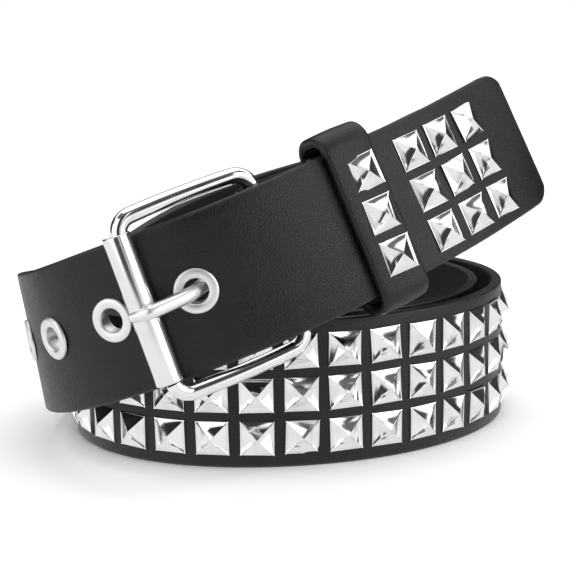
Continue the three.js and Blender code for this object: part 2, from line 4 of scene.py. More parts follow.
import bmesh
import bpy
import numpy as np
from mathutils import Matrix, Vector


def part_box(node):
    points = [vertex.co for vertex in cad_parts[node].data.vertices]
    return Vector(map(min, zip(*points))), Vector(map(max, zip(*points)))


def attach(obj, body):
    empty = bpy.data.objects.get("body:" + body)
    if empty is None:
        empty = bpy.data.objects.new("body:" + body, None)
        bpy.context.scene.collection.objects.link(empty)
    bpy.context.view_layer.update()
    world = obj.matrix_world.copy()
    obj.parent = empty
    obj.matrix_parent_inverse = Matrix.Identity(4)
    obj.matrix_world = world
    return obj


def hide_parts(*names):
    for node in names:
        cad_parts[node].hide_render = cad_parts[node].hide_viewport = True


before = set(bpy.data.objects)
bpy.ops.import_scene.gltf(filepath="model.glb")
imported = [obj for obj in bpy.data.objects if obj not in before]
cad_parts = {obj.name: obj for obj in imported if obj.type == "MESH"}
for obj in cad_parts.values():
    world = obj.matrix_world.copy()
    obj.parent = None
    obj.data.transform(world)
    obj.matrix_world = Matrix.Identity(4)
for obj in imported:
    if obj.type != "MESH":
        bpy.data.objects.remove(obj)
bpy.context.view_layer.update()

# %% [markdown]
# # A studded belt, coiled on its edge
# The belt is one long strap of coated leather. It stands on its lower edge in nearly three turns,
# and its buckled end is drawn round the front and lifted over the coil. Everything else is fixed
# to that strap: pyramid studs, eyelets, the keeper loop and the buckle. So this notebook first
# describes the strap's course once, as curves, and then places every piece by three numbers: how
# far along the strap, how far across its width, and how deep through its thickness.

# %% Sizes of the belt in millimetres
MM = 0.001
STRAP_WIDTH, STRAP_THICKNESS = 38, 3
HALF_WIDTH, HALF = STRAP_WIDTH / 2, STRAP_THICKNESS / 2
COIL_RADIUS, LAYER_AIR, SEAT_GAP = 60, 1.3, 0.3
STUD_BASE, STUD_HEIGHT, STUD_PITCH = 9, 2.5, 11.3
ROW_MARGIN, STUD_ROWS, TIP_COLUMNS = 3.35, 3, 3
ROW_PITCH = (STRAP_WIDTH - 2 * ROW_MARGIN - STUD_BASE) / (STUD_ROWS - 1)
LAYER_PITCH = STRAP_THICKNESS + STUD_HEIGHT + LAYER_AIR

# Places along the strap, from its tip
TIP_CORNER, TIP_REACH, TIP_ROW_SHIFT, FIRST_TIP_STUD = 6.5, 1.1, -0.6, 18.6
KEEPER_AT, NEAR_BAR_AT, FAR_BAR_AT = 60.6, 86.3, 120.5
BUCKLE_HOLE, HOLE_PITCH, HOLE_COUNT, HOLE_RISE = 109.1, 22.7, 6, 0.8
STUDS_RESUME, PLAIN_END = 243, 70
print("rows of studs are", ROW_PITCH, "mm apart")

# %% [markdown]
# ## The strap's course
# A coil is easiest to describe from above, in polar form. The turn angle starts at the front and
# runs clockwise. One short table gives the coil's slightly oval outline, and a second one says,
# along the strap, how many layers inside that outline it lies, how high it is lifted, as a share
# of its width, and how far its top edge leans inward. Smooth curves through a few such rows are
# what a hand does with a real belt, and each row can be read and changed on its own.

# %% Tables of the outline and the course
OUTLINE = np.array([  # turn, reach as a share of the coil's radius
    (0, 0.997), (15, 1.037), (30, 1.075), (45, 1.103), (60, 1.112), (75, 1.088), (90, 1.022),
    (105, 0.96), (120, 0.93), (150, 0.93), (180, 0.945), (210, 0.95), (225, 0.95), (240, 0.952),
    (255, 0.956), (270, 0.952), (285, 0.942), (300, 0.935), (315, 0.936), (330, 0.943), (345, 0.965),
])
TAIL = np.array([  # turn, layers inside the outline, lift, lean in degrees
    (-72, -1.08, 1.599, 18.9), (-60, -0.53, 1.503, 19.7), (-48, -0.26, 1.414, 19.4),
    (-36, -0.21, 1.323, 18.1), (-24, -0.38, 1.233, 15.9), (-12, -0.77, 1.128, 12.7),
    (0, -1.39, 1.001, 8.0), (12, -2.06, 0.853, 2.6), (24, -2.54, 0.69, -2.0),
    (36, -2.61, 0.525, -6.4), (48, -2.38, 0.376, -9.5), (60, -1.9, 0.275, -9.5),
    (72, -1.45, 0.207, -8.8), (84, -1.25, 0.146, -7.4), (98, -1.3, 0.078, -5.5),
    (114, -1.22, 0.035, -3.5), (132, -1.08, 0.014, -1.6), (150, -0.95, 0.004, -0.2),
])
COIL = np.array([  # the same columns: flat on the ground, then rising behind the tail
    (168, -0.8, 0, 0), (200, -0.5, 0, 0), (235, -0.18, 0, 0), (270, 0, 0, 0), (315, 0, 0, 0),
    (360, 0, 0, 0), (405, 0, 0, 0), (450, 0, 0, 0), (490, 0.1, 0, 0), (528, 0.3, 0, 0),
    (560, 0.58, 0, 0), (595, 0.86, 0, 0), (630, 1, 0, 0), (675, 1, 0, 0), (720, 1, 0, 0),
    (745, 1.04, 0.004, 0), (770, 1.09, 0.08, 0), (795, 1.15, 0.19, 0), (820, 1.2, 0.31, 0),
    (850, 1.27, 0.47, 1), (880, 1.38, 0.63, 3), (910, 1.7, 0.8, 5), (940, 2.05, 0.97, 8),
    (970, 2.2, 1.14, 12), (998, 1.75, 1.3, 16),
])
FIRST_TURN, TAIL_END_TURN, LAST_TURN = TAIL[0, 0], 200, 3 * 360
TURN_STEP, SLOPE_STEP = 0.25, 0.2


# %% Smooth curve through table rows
def natural_spline(knots, values):
    """Natural cubic through the points (knots, values). Between knots the second derivative runs
    straight, it is zero at both ends, and equal slopes at each knot give one linear equation."""
    knots, values = np.asarray(knots, float), np.asarray(values, float)
    gap = np.diff(knots)
    inner = np.arange(1, len(knots) - 1)
    system = np.eye(len(knots))
    system[inner, inner - 1] = gap[:-1]
    system[inner, inner] = 2 * (gap[:-1] + gap[1:])
    system[inner, inner + 1] = gap[1:]
    jumps = 6 * np.diff(np.diff(values) / gap)
    bend = np.linalg.solve(system, np.concatenate([[0], jumps, [0]]))

    def curve(x):
        i = np.clip(np.searchsorted(knots, x, side="right") - 1, 0, len(knots) - 2)
        b = (x - knots[i]) / gap[i]
        a = 1 - b
        cubic = (a**3 - a) * bend[i] + (b**3 - b) * bend[i + 1]
        return a * values[i] + b * values[i + 1] + cubic * gap[i] ** 2 / 6

    return curve


def unit(vectors):
    """Each vector divided by its own length."""
    return vectors / np.linalg.norm(vectors, axis=-1, keepdims=True)


laps = np.arange(-2, 3)
outline_reach = natural_spline(
    (laps[:, None] * 360 + OUTLINE[:, 0]).ravel(), np.tile(OUTLINE[:, 1], len(laps))
)
print("reach of the outline at its widest:", round(float(outline_reach(60.0)), 3))


# %% Frames along the strap
def course_rows(table):
    """Table rows as turn, radius = outline - layers x layer pitch, height = (0.5 + lift) x width, lean."""
    turn, layer, lift, lean = table.T
    radius = COIL_RADIUS * outline_reach(turn % 360) - layer * LAYER_PITCH
    return np.stack([turn, radius, STRAP_WIDTH * (0.5 + lift), lean], axis=1)


def frames_along(rows, first, last):
    """Place, direction, width direction and outward normal at even turn steps, with the distance
    run so far. Place is (-r sin a, -r cos a, height); the normal is turned by the lean angle."""
    radius, height, lean_at = (natural_spline(rows[:, 0], rows[:, k]) for k in (1, 2, 3))

    def place_at(turn):
        a, r = np.radians(turn), radius(turn)
        return np.stack([-r * np.sin(a), -r * np.cos(a), np.maximum(height(turn), HALF_WIDTH)], -1)

    turn = np.linspace(first, last, math.ceil((last - first) / TURN_STEP) + 1)
    place = place_at(turn)
    along = unit(place_at(turn + SLOPE_STEP) - place_at(turn - SLOPE_STEP))
    upright = unit(np.array([0, 0, 1]) - along * along[:, 2:])
    outward = np.cross(upright, along)
    lean = np.radians(lean_at(turn))[:, None]
    steps = np.linalg.norm(np.diff(place, axis=0), axis=1)
    return {
        "turn": turn, "s": np.concatenate([[0], np.cumsum(steps)]), "place": place, "along": along,
        "across": upright * np.cos(lean) - outward * np.sin(lean),
        "lean": lean[:, 0],
    }


def frame_at(course, s):
    """Place, direction, width direction and normal at distances s along a course."""
    def mixed(key):
        columns = [np.interp(s, course["s"], course[key][:, k]) for k in range(3)]
        return np.stack(columns, axis=-1)

    along, across = unit(mixed("along")), mixed("across")
    across = unit(across - along * np.sum(across * along, axis=-1, keepdims=True))
    return mixed("place"), along, across, np.cross(across, along)


def on_strap(course, s, across, depth):
    """Points at distance s along a course, across its width and depth outward of its middle."""
    s, across, depth = np.broadcast_arrays(s, across, depth)
    place, _, width, normal = frame_at(course, s)
    return place + width * across[..., None] + normal * depth[..., None]


tail_rows = course_rows(TAIL)
coil_rows = course_rows(COIL)
tail = frames_along(np.concatenate([tail_rows, coil_rows[:3]]), FIRST_TURN, TAIL_END_TURN)
print("tail measured to", round(tail["s"][-1], 1), "mm")

# %% [markdown]
# ## The hidden end
# The buckle hangs on the strap's other end, which runs behind the tail to the near bar. Its course
# is the tail's own, moved inward by a strap's thickness and a hair of air, so the two lie together
# as a buckled belt does.

# %% Strap behind the tail, and the whole ribbon
UNDER_START, UNDER_AIR, UNDER_FLARE, FLARE_OVER = 32, 0.25, 0.9, 18
UNDER_RISE, RISE_FROM, RISE_OVER, TAIL_STEP = 1.2, 66, 13, 6
UNDER_DEPTH = STRAP_THICKNESS + SEAT_GAP + UNDER_AIR
under_s = np.arange(UNDER_START, NEAR_BAR_AT + TAIL_STEP, TAIL_STEP)
rise_share = np.clip((under_s - RISE_FROM) / RISE_OVER, 0, 1)
rise = UNDER_RISE * rise_share**2 * (3 - 2 * rise_share)
flare = UNDER_FLARE * (1 - np.clip((under_s - UNDER_START) / FLARE_OVER, 0, 1)) ** 2
under = on_strap(tail, under_s, rise, -(UNDER_DEPTH + flare))
under_rows = np.stack([
    LAST_TURN + np.degrees(np.arctan2(-under[:, 0], -under[:, 1])),
    np.hypot(under[:, 0], under[:, 1]),
    under[:, 2],
    np.degrees(np.interp(under_s, tail["s"], tail["lean"])),
], axis=1)
ribbon = frames_along(np.concatenate([tail_rows, coil_rows, under_rows]), FIRST_TURN, under_rows[-1, 0])


BUCKLE_TURN = LAST_TURN - 60


def ribbon_distance(point):
    """Distance along the ribbon of its sample nearest to a point, past the buckle's turn angle."""
    apart = np.linalg.norm(ribbon["place"] - point, axis=1)
    return ribbon["s"][np.argmin(np.where(ribbon["turn"] > BUCKLE_TURN, apart, np.inf))]


print("ribbon length in mm:", round(ribbon["s"][-1]))

# %% [markdown]
# ## Buckle axes and the common origin
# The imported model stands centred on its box, while the course is written round the coil's own
# centre line. The roller is a plain round bar, so the middle of its box is its true centre: the
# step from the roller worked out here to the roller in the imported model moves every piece.

# %% Buckle axes
WIRE, BAR, ROLLER, ROLLER_WALL, ROLLER_LENGTH = 4.2, 3, 7, 0.5, 38
ROLLER_SHIFT, ROLLER_RISE, FRAME_RISE, NEAR_BAR_DROP = 0.75, 1.35, 0.9, 1.1
BAR_AIR, FOLD_WALL = 0.4, 1.5
BORE_RADIUS = WIRE / 2 + SEAT_GAP
NEAR_BAR_DEPTH = HALF + SEAT_GAP + FOLD_WALL + BORE_RADIUS
FAR_BAR_DEPTH = HALF + SEAT_GAP + BAR_AIR + ROLLER / 2
near_bar = on_strap(tail, NEAR_BAR_AT, -NEAR_BAR_DROP, -NEAR_BAR_DEPTH)
far_bar = on_strap(tail, FAR_BAR_AT, 0, FAR_BAR_DEPTH)
BAR_GAP = float(np.linalg.norm(far_bar - near_bar))
buckle_u = unit(far_bar - near_bar)
buckle_w = frame_at(tail, NEAR_BAR_AT)[2] + frame_at(tail, FAR_BAR_AT)[2]
buckle_w = unit(buckle_w - buckle_u * np.dot(buckle_w, buckle_u))
buckle_n = np.cross(buckle_w, buckle_u)
roller_centre = far_bar + buckle_u * ROLLER_SHIFT + buckle_w * ROLLER_RISE
roller_low, roller_high = (np.array(corner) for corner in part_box("roller"))
ORIGIN = (roller_low + roller_high) / 2 / MM - roller_centre
print("origin of the course in the packed model, mm:", ORIGIN.round(3))

# %% [markdown]
# ## Camera
# The camera comes before the pieces, so that every later look is judged in the photograph's own
# frame. It stands in front of the buckle, a little above the belt, with a long lens that keeps the
# coil's ellipse flat.

# %% Camera
def put_in_scene(name, data):
    """A new object that shows the given data, linked into the scene."""
    made = bpy.data.objects.new(name, data)
    bpy.context.collection.objects.link(made)
    return made


CAMERA_SPOT = np.array([-2.8, -461.5, 118.54])
CAMERA_PITCH, CAMERA_ROLL, CAMERA_LENS, SENSOR = 0.1782, -0.0223, 101.27, 36
camera_data = bpy.data.cameras.new("camera")
camera_data.lens, camera_data.sensor_width = CAMERA_LENS, SENSOR
camera_data.clip_start, camera_data.clip_end = 0.01, 20
camera = put_in_scene("camera", camera_data)
camera.location = (CAMERA_SPOT + ORIGIN) * MM
camera.rotation_euler = (math.pi / 2 - CAMERA_PITCH, 0, 0)
camera.rotation_euler.rotate_axis("Z", CAMERA_ROLL)
bpy.context.scene.camera = camera
print("camera in mm:", [round(1000 * v, 1) for v in camera.location])


# %% [markdown]
# ## Turning arrays into pieces
# Every piece below is worked out as rings of points, one ring after the other, and becomes one
# closed mesh. Points that fall together are merged, the faces are then turned outward, and only
# angles past a limit are shaded as sharp edges, so a rounded edge stays soft and a cut edge crisp.

# %% Helpers that make meshes
MERGE_WITHIN = 2e-6


def ring_faces(rings, count, around=True, onward=False):
    """Quads between rings of equal count: each joins a point, its neighbour and the same two on
    the next ring. around closes each ring, onward joins the last ring to the first."""
    i, k = np.meshgrid(
        np.arange(rings if onward else rings - 1), np.arange(count if around else count - 1),
        indexing="ij",
    )
    here, there = i * count, (i + 1) % rings * count
    side = (k + 1) % count
    return np.stack([here + k, here + side, there + side, there + k], -1).reshape(-1, 4).tolist()


def shell(rings, onward=False):
    """Points and faces of a closed surface through an array of rings, capped unless it closes."""
    count, around = rings.shape[:2]
    faces = ring_faces(count, around, onward=onward)
    if not onward:
        last = (count - 1) * around
        faces += [list(range(around)), list(range(last, last + around))]
    return rings.reshape(-1, 3), faces


def make_piece(name, points, faces, materials, slot, stands_for=(), sharp=40, **layers):
    """A mesh object from points in millimetres round the coil's centre. layers may hold uv (two
    numbers a point), marks (named numbers, one a point) and paint (a material number a face)."""
    mesh = bpy.data.meshes.new(name)
    mesh.from_pydata(((points + ORIGIN) * MM).tolist(), [], faces)
    for material in materials:
        mesh.materials.append(material)
    if "paint" in layers:
        mesh.polygons.foreach_set("material_index", layers["paint"])
    if "uv" in layers:
        corner = np.empty(len(mesh.loops), int)
        mesh.loops.foreach_get("vertex_index", corner)
        flat = layers["uv"][corner].astype(np.float32).ravel()
        mesh.uv_layers.new(name="strap_uv").data.foreach_set("uv", flat)
    for key, values in layers.get("marks", {}).items():
        mark = mesh.attributes.new(key, "FLOAT", "POINT")
        mark.data.foreach_set("value", values.astype(np.float32))
    work = bmesh.new()
    work.from_mesh(mesh)
    bmesh.ops.remove_doubles(work, verts=work.verts, dist=MERGE_WITHIN)
    bmesh.ops.recalc_face_normals(work, faces=work.faces)
    work.to_mesh(mesh)
    work.free()
    mesh.polygons.foreach_set("use_smooth", np.ones(len(mesh.polygons), bool))
    mesh.set_sharp_from_angle(angle=math.radians(sharp))
    piece = put_in_scene(name, mesh)
    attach(piece, "root")
    if stands_for:
        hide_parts(*stands_for)
    return piece


# %% [markdown]
# ## Finishes
# The strap is a coated leather: a thin black skin with a fine pressed grain over a softer core.
# The grain is a pattern of small cells, the size of a fraction of a millimetre, that lie closer
# than the eye can count, with slow unevenness under them. It is one node group, because the strap,
# the keeper and the folded end all share it with their own cell sizes. The metal parts share a
# second group of faint rubbing marks, with a different amount on each.

# %% Node helpers
def feed(tree, node, values):
    """Give a node's inputs, by name or number, plain values or output sockets to read."""
    for key, value in values.items():
        if isinstance(value, bpy.types.NodeSocket):
            tree.links.new(value, node.inputs[key])
        else:
            node.inputs[key].default_value = value


def add_node(tree, kind, values=(), **settings):
    """A new node with its settings and then its inputs, as feed takes them."""
    made = tree.nodes.new(kind)
    for key, value in settings.items():
        setattr(made, key, value)
    feed(tree, made, dict(values))
    return made


def sums(tree, operation, *terms):
    """Output of one arithmetic node."""
    return add_node(tree, "ShaderNodeMath", enumerate(terms), operation=operation).outputs[0]


def spread(tree, value, low, high, to_low=0.0, to_high=1.0):
    """value mapped from low..high to to_low..to_high, smoothly and held at both ends."""
    made = add_node(tree, "ShaderNodeMapRange", {
        "Value": value, "From Min": low, "From Max": high, "To Min": to_low, "To Max": to_high,
    }, interpolation_type="SMOOTHSTEP")
    return made.outputs["Result"]


def new_group(name, inputs, outputs):
    """A shader node group with named number inputs (default given) and outputs, after a Vector."""
    group = bpy.data.node_groups.new(name, "ShaderNodeTree")
    group.interface.new_socket("Vector", in_out="INPUT", socket_type="NodeSocketVector")
    for key, default in inputs.items():
        made = group.interface.new_socket(key, in_out="INPUT", socket_type="NodeSocketFloat")
        made.default_value = default
    for key in outputs:
        group.interface.new_socket(key, in_out="OUTPUT", socket_type="NodeSocketFloat")
    return group, group.nodes.new("NodeGroupInput"), group.nodes.new("NodeGroupOutput")


# %% Leather grain group
grain_group, grain_in, grain_out = new_group(
    "leather_grain", {"Cells per metre": 1300.0, "Pull": 0.35}, ("Height", "Pores", "Unevenness")
)
slow = add_node(grain_group, "ShaderNodeTexNoise", {
    "Vector": grain_in.outputs["Vector"], "Scale": 70.0, "Detail": 3.0, "Roughness": 0.55})
wander = add_node(grain_group, "ShaderNodeTexNoise", {
    "Vector": grain_in.outputs["Vector"], "Scale": 900.0, "Detail": 2.0})
wander_size = sums(grain_group, "MULTIPLY", grain_in.outputs["Pull"], 0.002)
shifted = add_node(grain_group, "ShaderNodeVectorMath", {
    0: wander.outputs["Color"], 1: (0.5, 0.5, 0.5)}, operation="SUBTRACT")
scaled = add_node(grain_group, "ShaderNodeVectorMath", {
    0: shifted.outputs["Vector"], "Scale": wander_size}, operation="SCALE")
moved = add_node(grain_group, "ShaderNodeVectorMath", {
    0: grain_in.outputs["Vector"], 1: scaled.outputs["Vector"]}, operation="ADD")
cells = add_node(grain_group, "ShaderNodeTexVoronoi", {
    "Vector": moved.outputs["Vector"], "Scale": grain_in.outputs["Cells per metre"]},
    feature="DISTANCE_TO_EDGE")
creases = spread(grain_group, cells.outputs["Distance"], 0.0, 0.28)
tiny = add_node(grain_group, "ShaderNodeTexNoise", {
    "Vector": grain_in.outputs["Vector"], "Scale": 4200.0, "Detail": 2.0})
pebbles = sums(grain_group, "MULTIPLY_ADD", tiny.outputs["Fac"], 0.25, creases)
feed(grain_group, grain_out, {
    "Height": sums(grain_group, "MULTIPLY_ADD", slow.outputs["Fac"], 0.8, pebbles),
    "Pores": sums(grain_group, "SUBTRACT", 1.0, creases),
    "Unevenness": slow.outputs["Fac"],
})

# %% Metal wear group
wear_group, wear_in, wear_out = new_group(
    "metal_wear", {"Marks per metre": 900.0, "Stretch": 12.0}, ("Smudge", "Scratches", "Height")
)
smudge = add_node(wear_group, "ShaderNodeTexNoise", {
    "Vector": wear_in.outputs["Vector"], "Scale": 180.0, "Detail": 4.0, "Roughness": 0.6})
stretched = add_node(wear_group, "ShaderNodeCombineXYZ", {
    "X": wear_in.outputs["Stretch"], "Y": 1.0, "Z": 1.0})
along_marks = add_node(wear_group, "ShaderNodeVectorMath", {
    0: wear_in.outputs["Vector"], 1: stretched.outputs["Vector"]}, operation="MULTIPLY")
marks = add_node(wear_group, "ShaderNodeTexNoise", {
    "Vector": along_marks.outputs["Vector"], "Scale": wear_in.outputs["Marks per metre"],
    "Detail": 3.0, "Roughness": 0.65})
feed(wear_group, wear_out, {
    "Smudge": spread(wear_group, smudge.outputs["Fac"], 0.4, 0.7),
    "Scratches": spread(wear_group, marks.outputs["Fac"], 0.55, 0.75),
    "Height": marks.outputs["Fac"],
})
print("node groups:", [group.name for group in bpy.data.node_groups])


# %% Leather materials
def start_material(name):
    """An empty node material with its surface shader already wired."""
    material = bpy.data.materials.new(name)
    material.use_nodes = True
    tree = material.node_tree
    return material, tree, tree.nodes["Principled BSDF"]


def mixed_colour(tree, share, first, second):
    """Colour that goes from first to second by a share socket."""
    mix = add_node(
        tree, "ShaderNodeMix", {"Factor": share, "A": (*first, 1), "B": (*second, 1)}, data_type="RGBA"
    )
    return mix.outputs["Result"]


def pressed(tree, height, strength, depth):
    """Normal that follows a height socket, with strength as a share and depth in metres."""
    bump = add_node(tree, "ShaderNodeBump", {"Height": height, "Strength": strength, "Distance": depth})
    return bump.outputs["Normal"]



LEATHER_SHINE = 0.38


def leather(name, dark, light, rough, cells_per_metre, relief):
    """Coated leather: pores a little darker and duller than the skin, slow uneven shine."""
    material, tree, skin = start_material(name)
    place = add_node(tree, "ShaderNodeTexCoord").outputs["Object"]
    grain = add_node(tree, "ShaderNodeGroup", {
        "Vector": place, "Cells per metre": cells_per_metre}, node_tree=grain_group)
    uneven = spread(tree, grain.outputs["Unevenness"], 0.3, 0.7)
    shade = sums(tree, "MULTIPLY_ADD", grain.outputs["Pores"], -0.35, uneven)
    dull = sums(tree, "MULTIPLY_ADD", grain.outputs["Pores"], 0.12, rough)
    feed(tree, skin, {
        "Base Color": mixed_colour(tree, shade, dark, light),
        "Roughness": sums(tree, "MULTIPLY_ADD", uneven, 0.08, dull),
        "Normal": pressed(tree, grain.outputs["Height"], 0.6, relief),
        "Specular IOR Level": LEATHER_SHINE,
    })
    return material


strap_face = leather("strap_face", (0.004, 0.004, 0.0045), (0.008, 0.008, 0.0095), 0.26, 1300, 0.00006)
keeper_face = leather("keeper_face", (0.005, 0.005, 0.006), (0.009, 0.009, 0.011), 0.28, 1300, 0.00006)
strap_back = leather("strap_back", (0.010, 0.010, 0.011), (0.018, 0.018, 0.019), 0.68, 2200, 0.00009)


def edge_paint(name, colour, pale):
    """Cut edge of the strap: a brushed-on dark coat with lengthwise unevenness and dull spots."""
    material, tree, skin = start_material(name)
    place = add_node(tree, "ShaderNodeTexCoord").outputs["Object"]
    rough_coat = add_node(tree, "ShaderNodeTexNoise", {"Vector": place, "Scale": 420.0, "Detail": 4.0})
    share = spread(tree, rough_coat.outputs["Fac"], 0.35, 0.75)
    feed(tree, skin, {
        "Base Color": mixed_colour(tree, share, colour, pale),
        "Roughness": sums(tree, "MULTIPLY_ADD", share, 0.2, 0.42),
        "Normal": pressed(tree, rough_coat.outputs["Fac"], 0.5, 0.00012),
    })
    return material


strap_edge = edge_paint("strap_edge", (0.006, 0.006, 0.007), (0.018, 0.018, 0.020))


# %% Metal materials
def metal(name, colour, shade, rough, smudge_rough, stretch, relief, foot_shade_attribute="none"):
    """Plated metal: mirror-like skin, cloudy where it was handled, faint marks across it. A named attribute,
    where the piece has one, adds painted shade: the colour goes darker where its values are low, at a stud's
    foot against the leather."""
    material, tree, skin = start_material(name)
    place = add_node(tree, "ShaderNodeTexCoord").outputs["Object"]
    wear = add_node(tree, "ShaderNodeGroup", {"Vector": place, "Stretch": stretch}, node_tree=wear_group)
    share = sums(tree, "MULTIPLY", wear.outputs["Smudge"], 0.6)
    if foot_shade_attribute != "none":
        # painted shade: the low part of the piece, a stud's foot and rim, is mixed toward the darker colour
        mark = add_node(tree, "ShaderNodeAttribute", attribute_name=foot_shade_attribute).outputs["Fac"]
        share = sums(tree, "ADD", share, spread(tree, mark, 0.25, 0.0))
    cloudy = sums(tree, "MULTIPLY_ADD", wear.outputs["Smudge"], smudge_rough, rough)
    feed(tree, skin, {
        "Base Color": mixed_colour(tree, share, colour, shade),
        "Roughness": sums(tree, "MULTIPLY_ADD", wear.outputs["Scratches"], smudge_rough, cloudy),
        "Normal": pressed(tree, wear.outputs["Height"], 0.25, relief),
        "Metallic": 1.0,
    })
    return material


# the studs' rise attribute paints shade at each foot, where the stud meets the leather
stud_metal = metal("stud_metal", (0.90, 0.90, 0.91), (0.74, 0.74, 0.75), 0.10, 0.07, 3, 0.00003, "rise")
wire_metal = metal("wire_metal", (0.88, 0.88, 0.89), (0.76, 0.76, 0.77), 0.07, 0.05, 6, 0.00001)
roller_metal = metal("roller_metal", (0.90, 0.89, 0.88), (0.84, 0.83, 0.82), 0.18, 0.05, 14, 0.00001)
prong_metal = metal("prong_metal", (0.92, 0.915, 0.91), (0.88, 0.875, 0.87), 0.36, 0.04, 8, 0.000006)
eyelet_metal = metal("eyelet_metal", (0.89, 0.89, 0.89), (0.82, 0.82, 0.82), 0.40, 0.03, 4, 0.000003)
print("materials:", [material.name for material in bpy.data.materials])

# %% [markdown]
# ## The strap
# A belt strap is cut from a sheet, its edges are skived round and painted, and two layers glued
# face to back leave a fine line along the edge. Here a closed profile of the strap's section is
# carried along the course: two faces, four rounded edges and the shallow line between the layers.
# Near the tip the profile narrows along the two corner arcs. Each buckle hole takes a square out
# of the grid, which a ring of faces closes down to the round hole.

# %% Profile of the strap's section
EDGE_ROUND, LINE_DEPTH, LINE_HALF = 0.7, 0.14, 0.35
FLAT_EDGE = HALF - EDGE_ROUND
HOLE_SQUARE, HOLE_CELLS, SIDE_CELLS = 6.2, 6, 4
EYELET_BORE, EYELET_FLANGE, EYELET_BARREL, EYELET_DOME = 6.2, 11.3, 0.55, 0.9
HOLE_RADIUS = EYELET_BORE / 2 + EYELET_BARREL + SEAT_GAP
face_edge = HALF_WIDTH - EDGE_ROUND
face_lines = np.unique(np.concatenate([
    np.linspace(-face_edge, HOLE_RISE - HOLE_SQUARE, SIDE_CELLS + 1),
    np.linspace(HOLE_RISE - HOLE_SQUARE, HOLE_RISE + HOLE_SQUARE, HOLE_CELLS + 1),
    np.linspace(HOLE_RISE + HOLE_SQUARE, face_edge, SIDE_CELLS + 1),
]).round(6))
bend_angles = np.radians([60, 30, 0])
edge_insets = np.concatenate([
    EDGE_ROUND * (1 - np.cos(bend_angles)), [0, LINE_DEPTH, 0], EDGE_ROUND * (1 - np.cos(bend_angles[::-1]))
])
edge_depths = np.concatenate([
    FLAT_EDGE + EDGE_ROUND * np.sin(bend_angles), [LINE_HALF, 0, -LINE_HALF],
    -FLAT_EDGE - EDGE_ROUND * np.sin(bend_angles[::-1]),
])
faces_across, edge_count = len(face_lines), len(edge_insets)
profile_share = np.concatenate([
    face_lines, np.full(edge_count, face_edge), face_lines[::-1], np.full(edge_count, -face_edge)
]) / face_edge
profile_inset = np.concatenate([
    np.full(faces_across, EDGE_ROUND), edge_insets, np.full(faces_across, EDGE_ROUND), edge_insets[::-1]
])
profile_depth = np.concatenate([
    np.full(faces_across, HALF), edge_depths, np.full(faces_across, -HALF), edge_depths[::-1]
])
print("points round the strap's section:", len(profile_share))


# %% Rings of the strap
def marks_between(places, step):
    """Places joined by even steps no longer than step."""
    runs = [
        np.linspace(a, b, max(1, math.ceil((b - a) / step)) + 1)[:-1]
        for a, b in zip(places[:-1], places[1:])
    ]
    return np.concatenate([*runs, [places[-1]]])


def strap_rings(course, stations, tip):
    """Rings round the strap at each station, and their places across. With x from the tip, an edge
    that lies d inside the outline is at half width - r + sqrt((r - d)^2 - (r - x)^2), r the
    corner's radius, and the faces drop toward the middle over the last x of edge rounding."""
    rel = (stations - tip)[:, None]
    inset = np.minimum(profile_inset[None, :], rel)
    corner = np.maximum((TIP_CORNER - inset) ** 2 - np.maximum(TIP_CORNER - rel, 0) ** 2, 0)
    reach = HALF_WIDTH - TIP_CORNER + np.sqrt(corner)
    drop = EDGE_ROUND - np.minimum(EDGE_ROUND, rel)
    thick = FLAT_EDGE + np.sqrt(EDGE_ROUND**2 - drop**2)
    depth = np.sign(profile_depth) * np.minimum(np.abs(profile_depth), thick)
    across = profile_share * reach
    return on_strap(course, stations[:, None], across, depth), across


FOLD_LENGTH, STATION_STEP = 15, 3.0
holes = BUCKLE_HOLE + HOLE_PITCH * np.arange(HOLE_COUNT)
round_rel = EDGE_ROUND * (1 - np.cos(np.radians([0, 30, 60, 90])))
corner_rel = TIP_CORNER * (1 - np.cos(np.radians([35, 45, 55, 65, 75, 90])))
tip = -TIP_REACH
fold_start = on_strap(tail, NEAR_BAR_AT - FOLD_LENGTH, UNDER_RISE, -UNDER_DEPTH)
strap_end = ribbon_distance(fold_start)
squares = np.stack([
    np.linspace(h - HOLE_SQUARE, h + HOLE_SQUARE, HOLE_CELLS + 1) for h in holes
]).ravel()
tip_stations = tip + np.concatenate([round_rel, corner_rel])
stations = np.concatenate([
    tip_stations[:-1], marks_between([tip_stations[-1], *squares, strap_end], STATION_STEP)
])
rings, ring_across = strap_rings(ribbon, stations, tip)
print("strap:", len(stations), "stations, ends at", round(strap_end, 1), "mm")

# %% Faces of the strap, with its holes
count = len(profile_share)
strap_quads = np.array(ring_faces(len(stations), count)).reshape(len(stations) - 1, count, 4)
first_line = int(np.argmin(np.abs(face_lines - (HOLE_RISE - HOLE_SQUARE))))
front_lines = np.arange(first_line, first_line + HOLE_CELLS)
back_start = faces_across + edge_count
back_lines = back_start + (faces_across - 2) - front_lines
keep = np.ones(strap_quads.shape[:2], bool)
quad_paint = np.zeros(strap_quads.shape[:2], int)
quad_paint[:, faces_across - 1:back_start] = 1
quad_paint[:, back_start:back_start + faces_across - 1] = 2
quad_paint[:, back_start + faces_across - 1:] = 1
strap_points = [rings.reshape(-1, 3)]
strap_along = [np.repeat(stations, count)]
strap_across = [ring_across.ravel()]
hole_faces, hole_paint = [], []
made_points = len(stations) * count


def square_loop(first_station, lines):
    """Point numbers round a square of the grid, in order of their angle round its middle."""
    far = first_station + HOLE_CELLS
    ends = (lines.min(), lines.max() + 1)
    sides = [(k, ends[0]) for k in range(first_station, far)]
    sides += [(far, k) for k in range(ends[0], ends[1])]
    sides += [(k, ends[1]) for k in range(far, first_station, -1)]
    sides += [(first_station, k) for k in range(ends[1], ends[0], -1)]
    return np.array([station * count + line for station, line in sides])


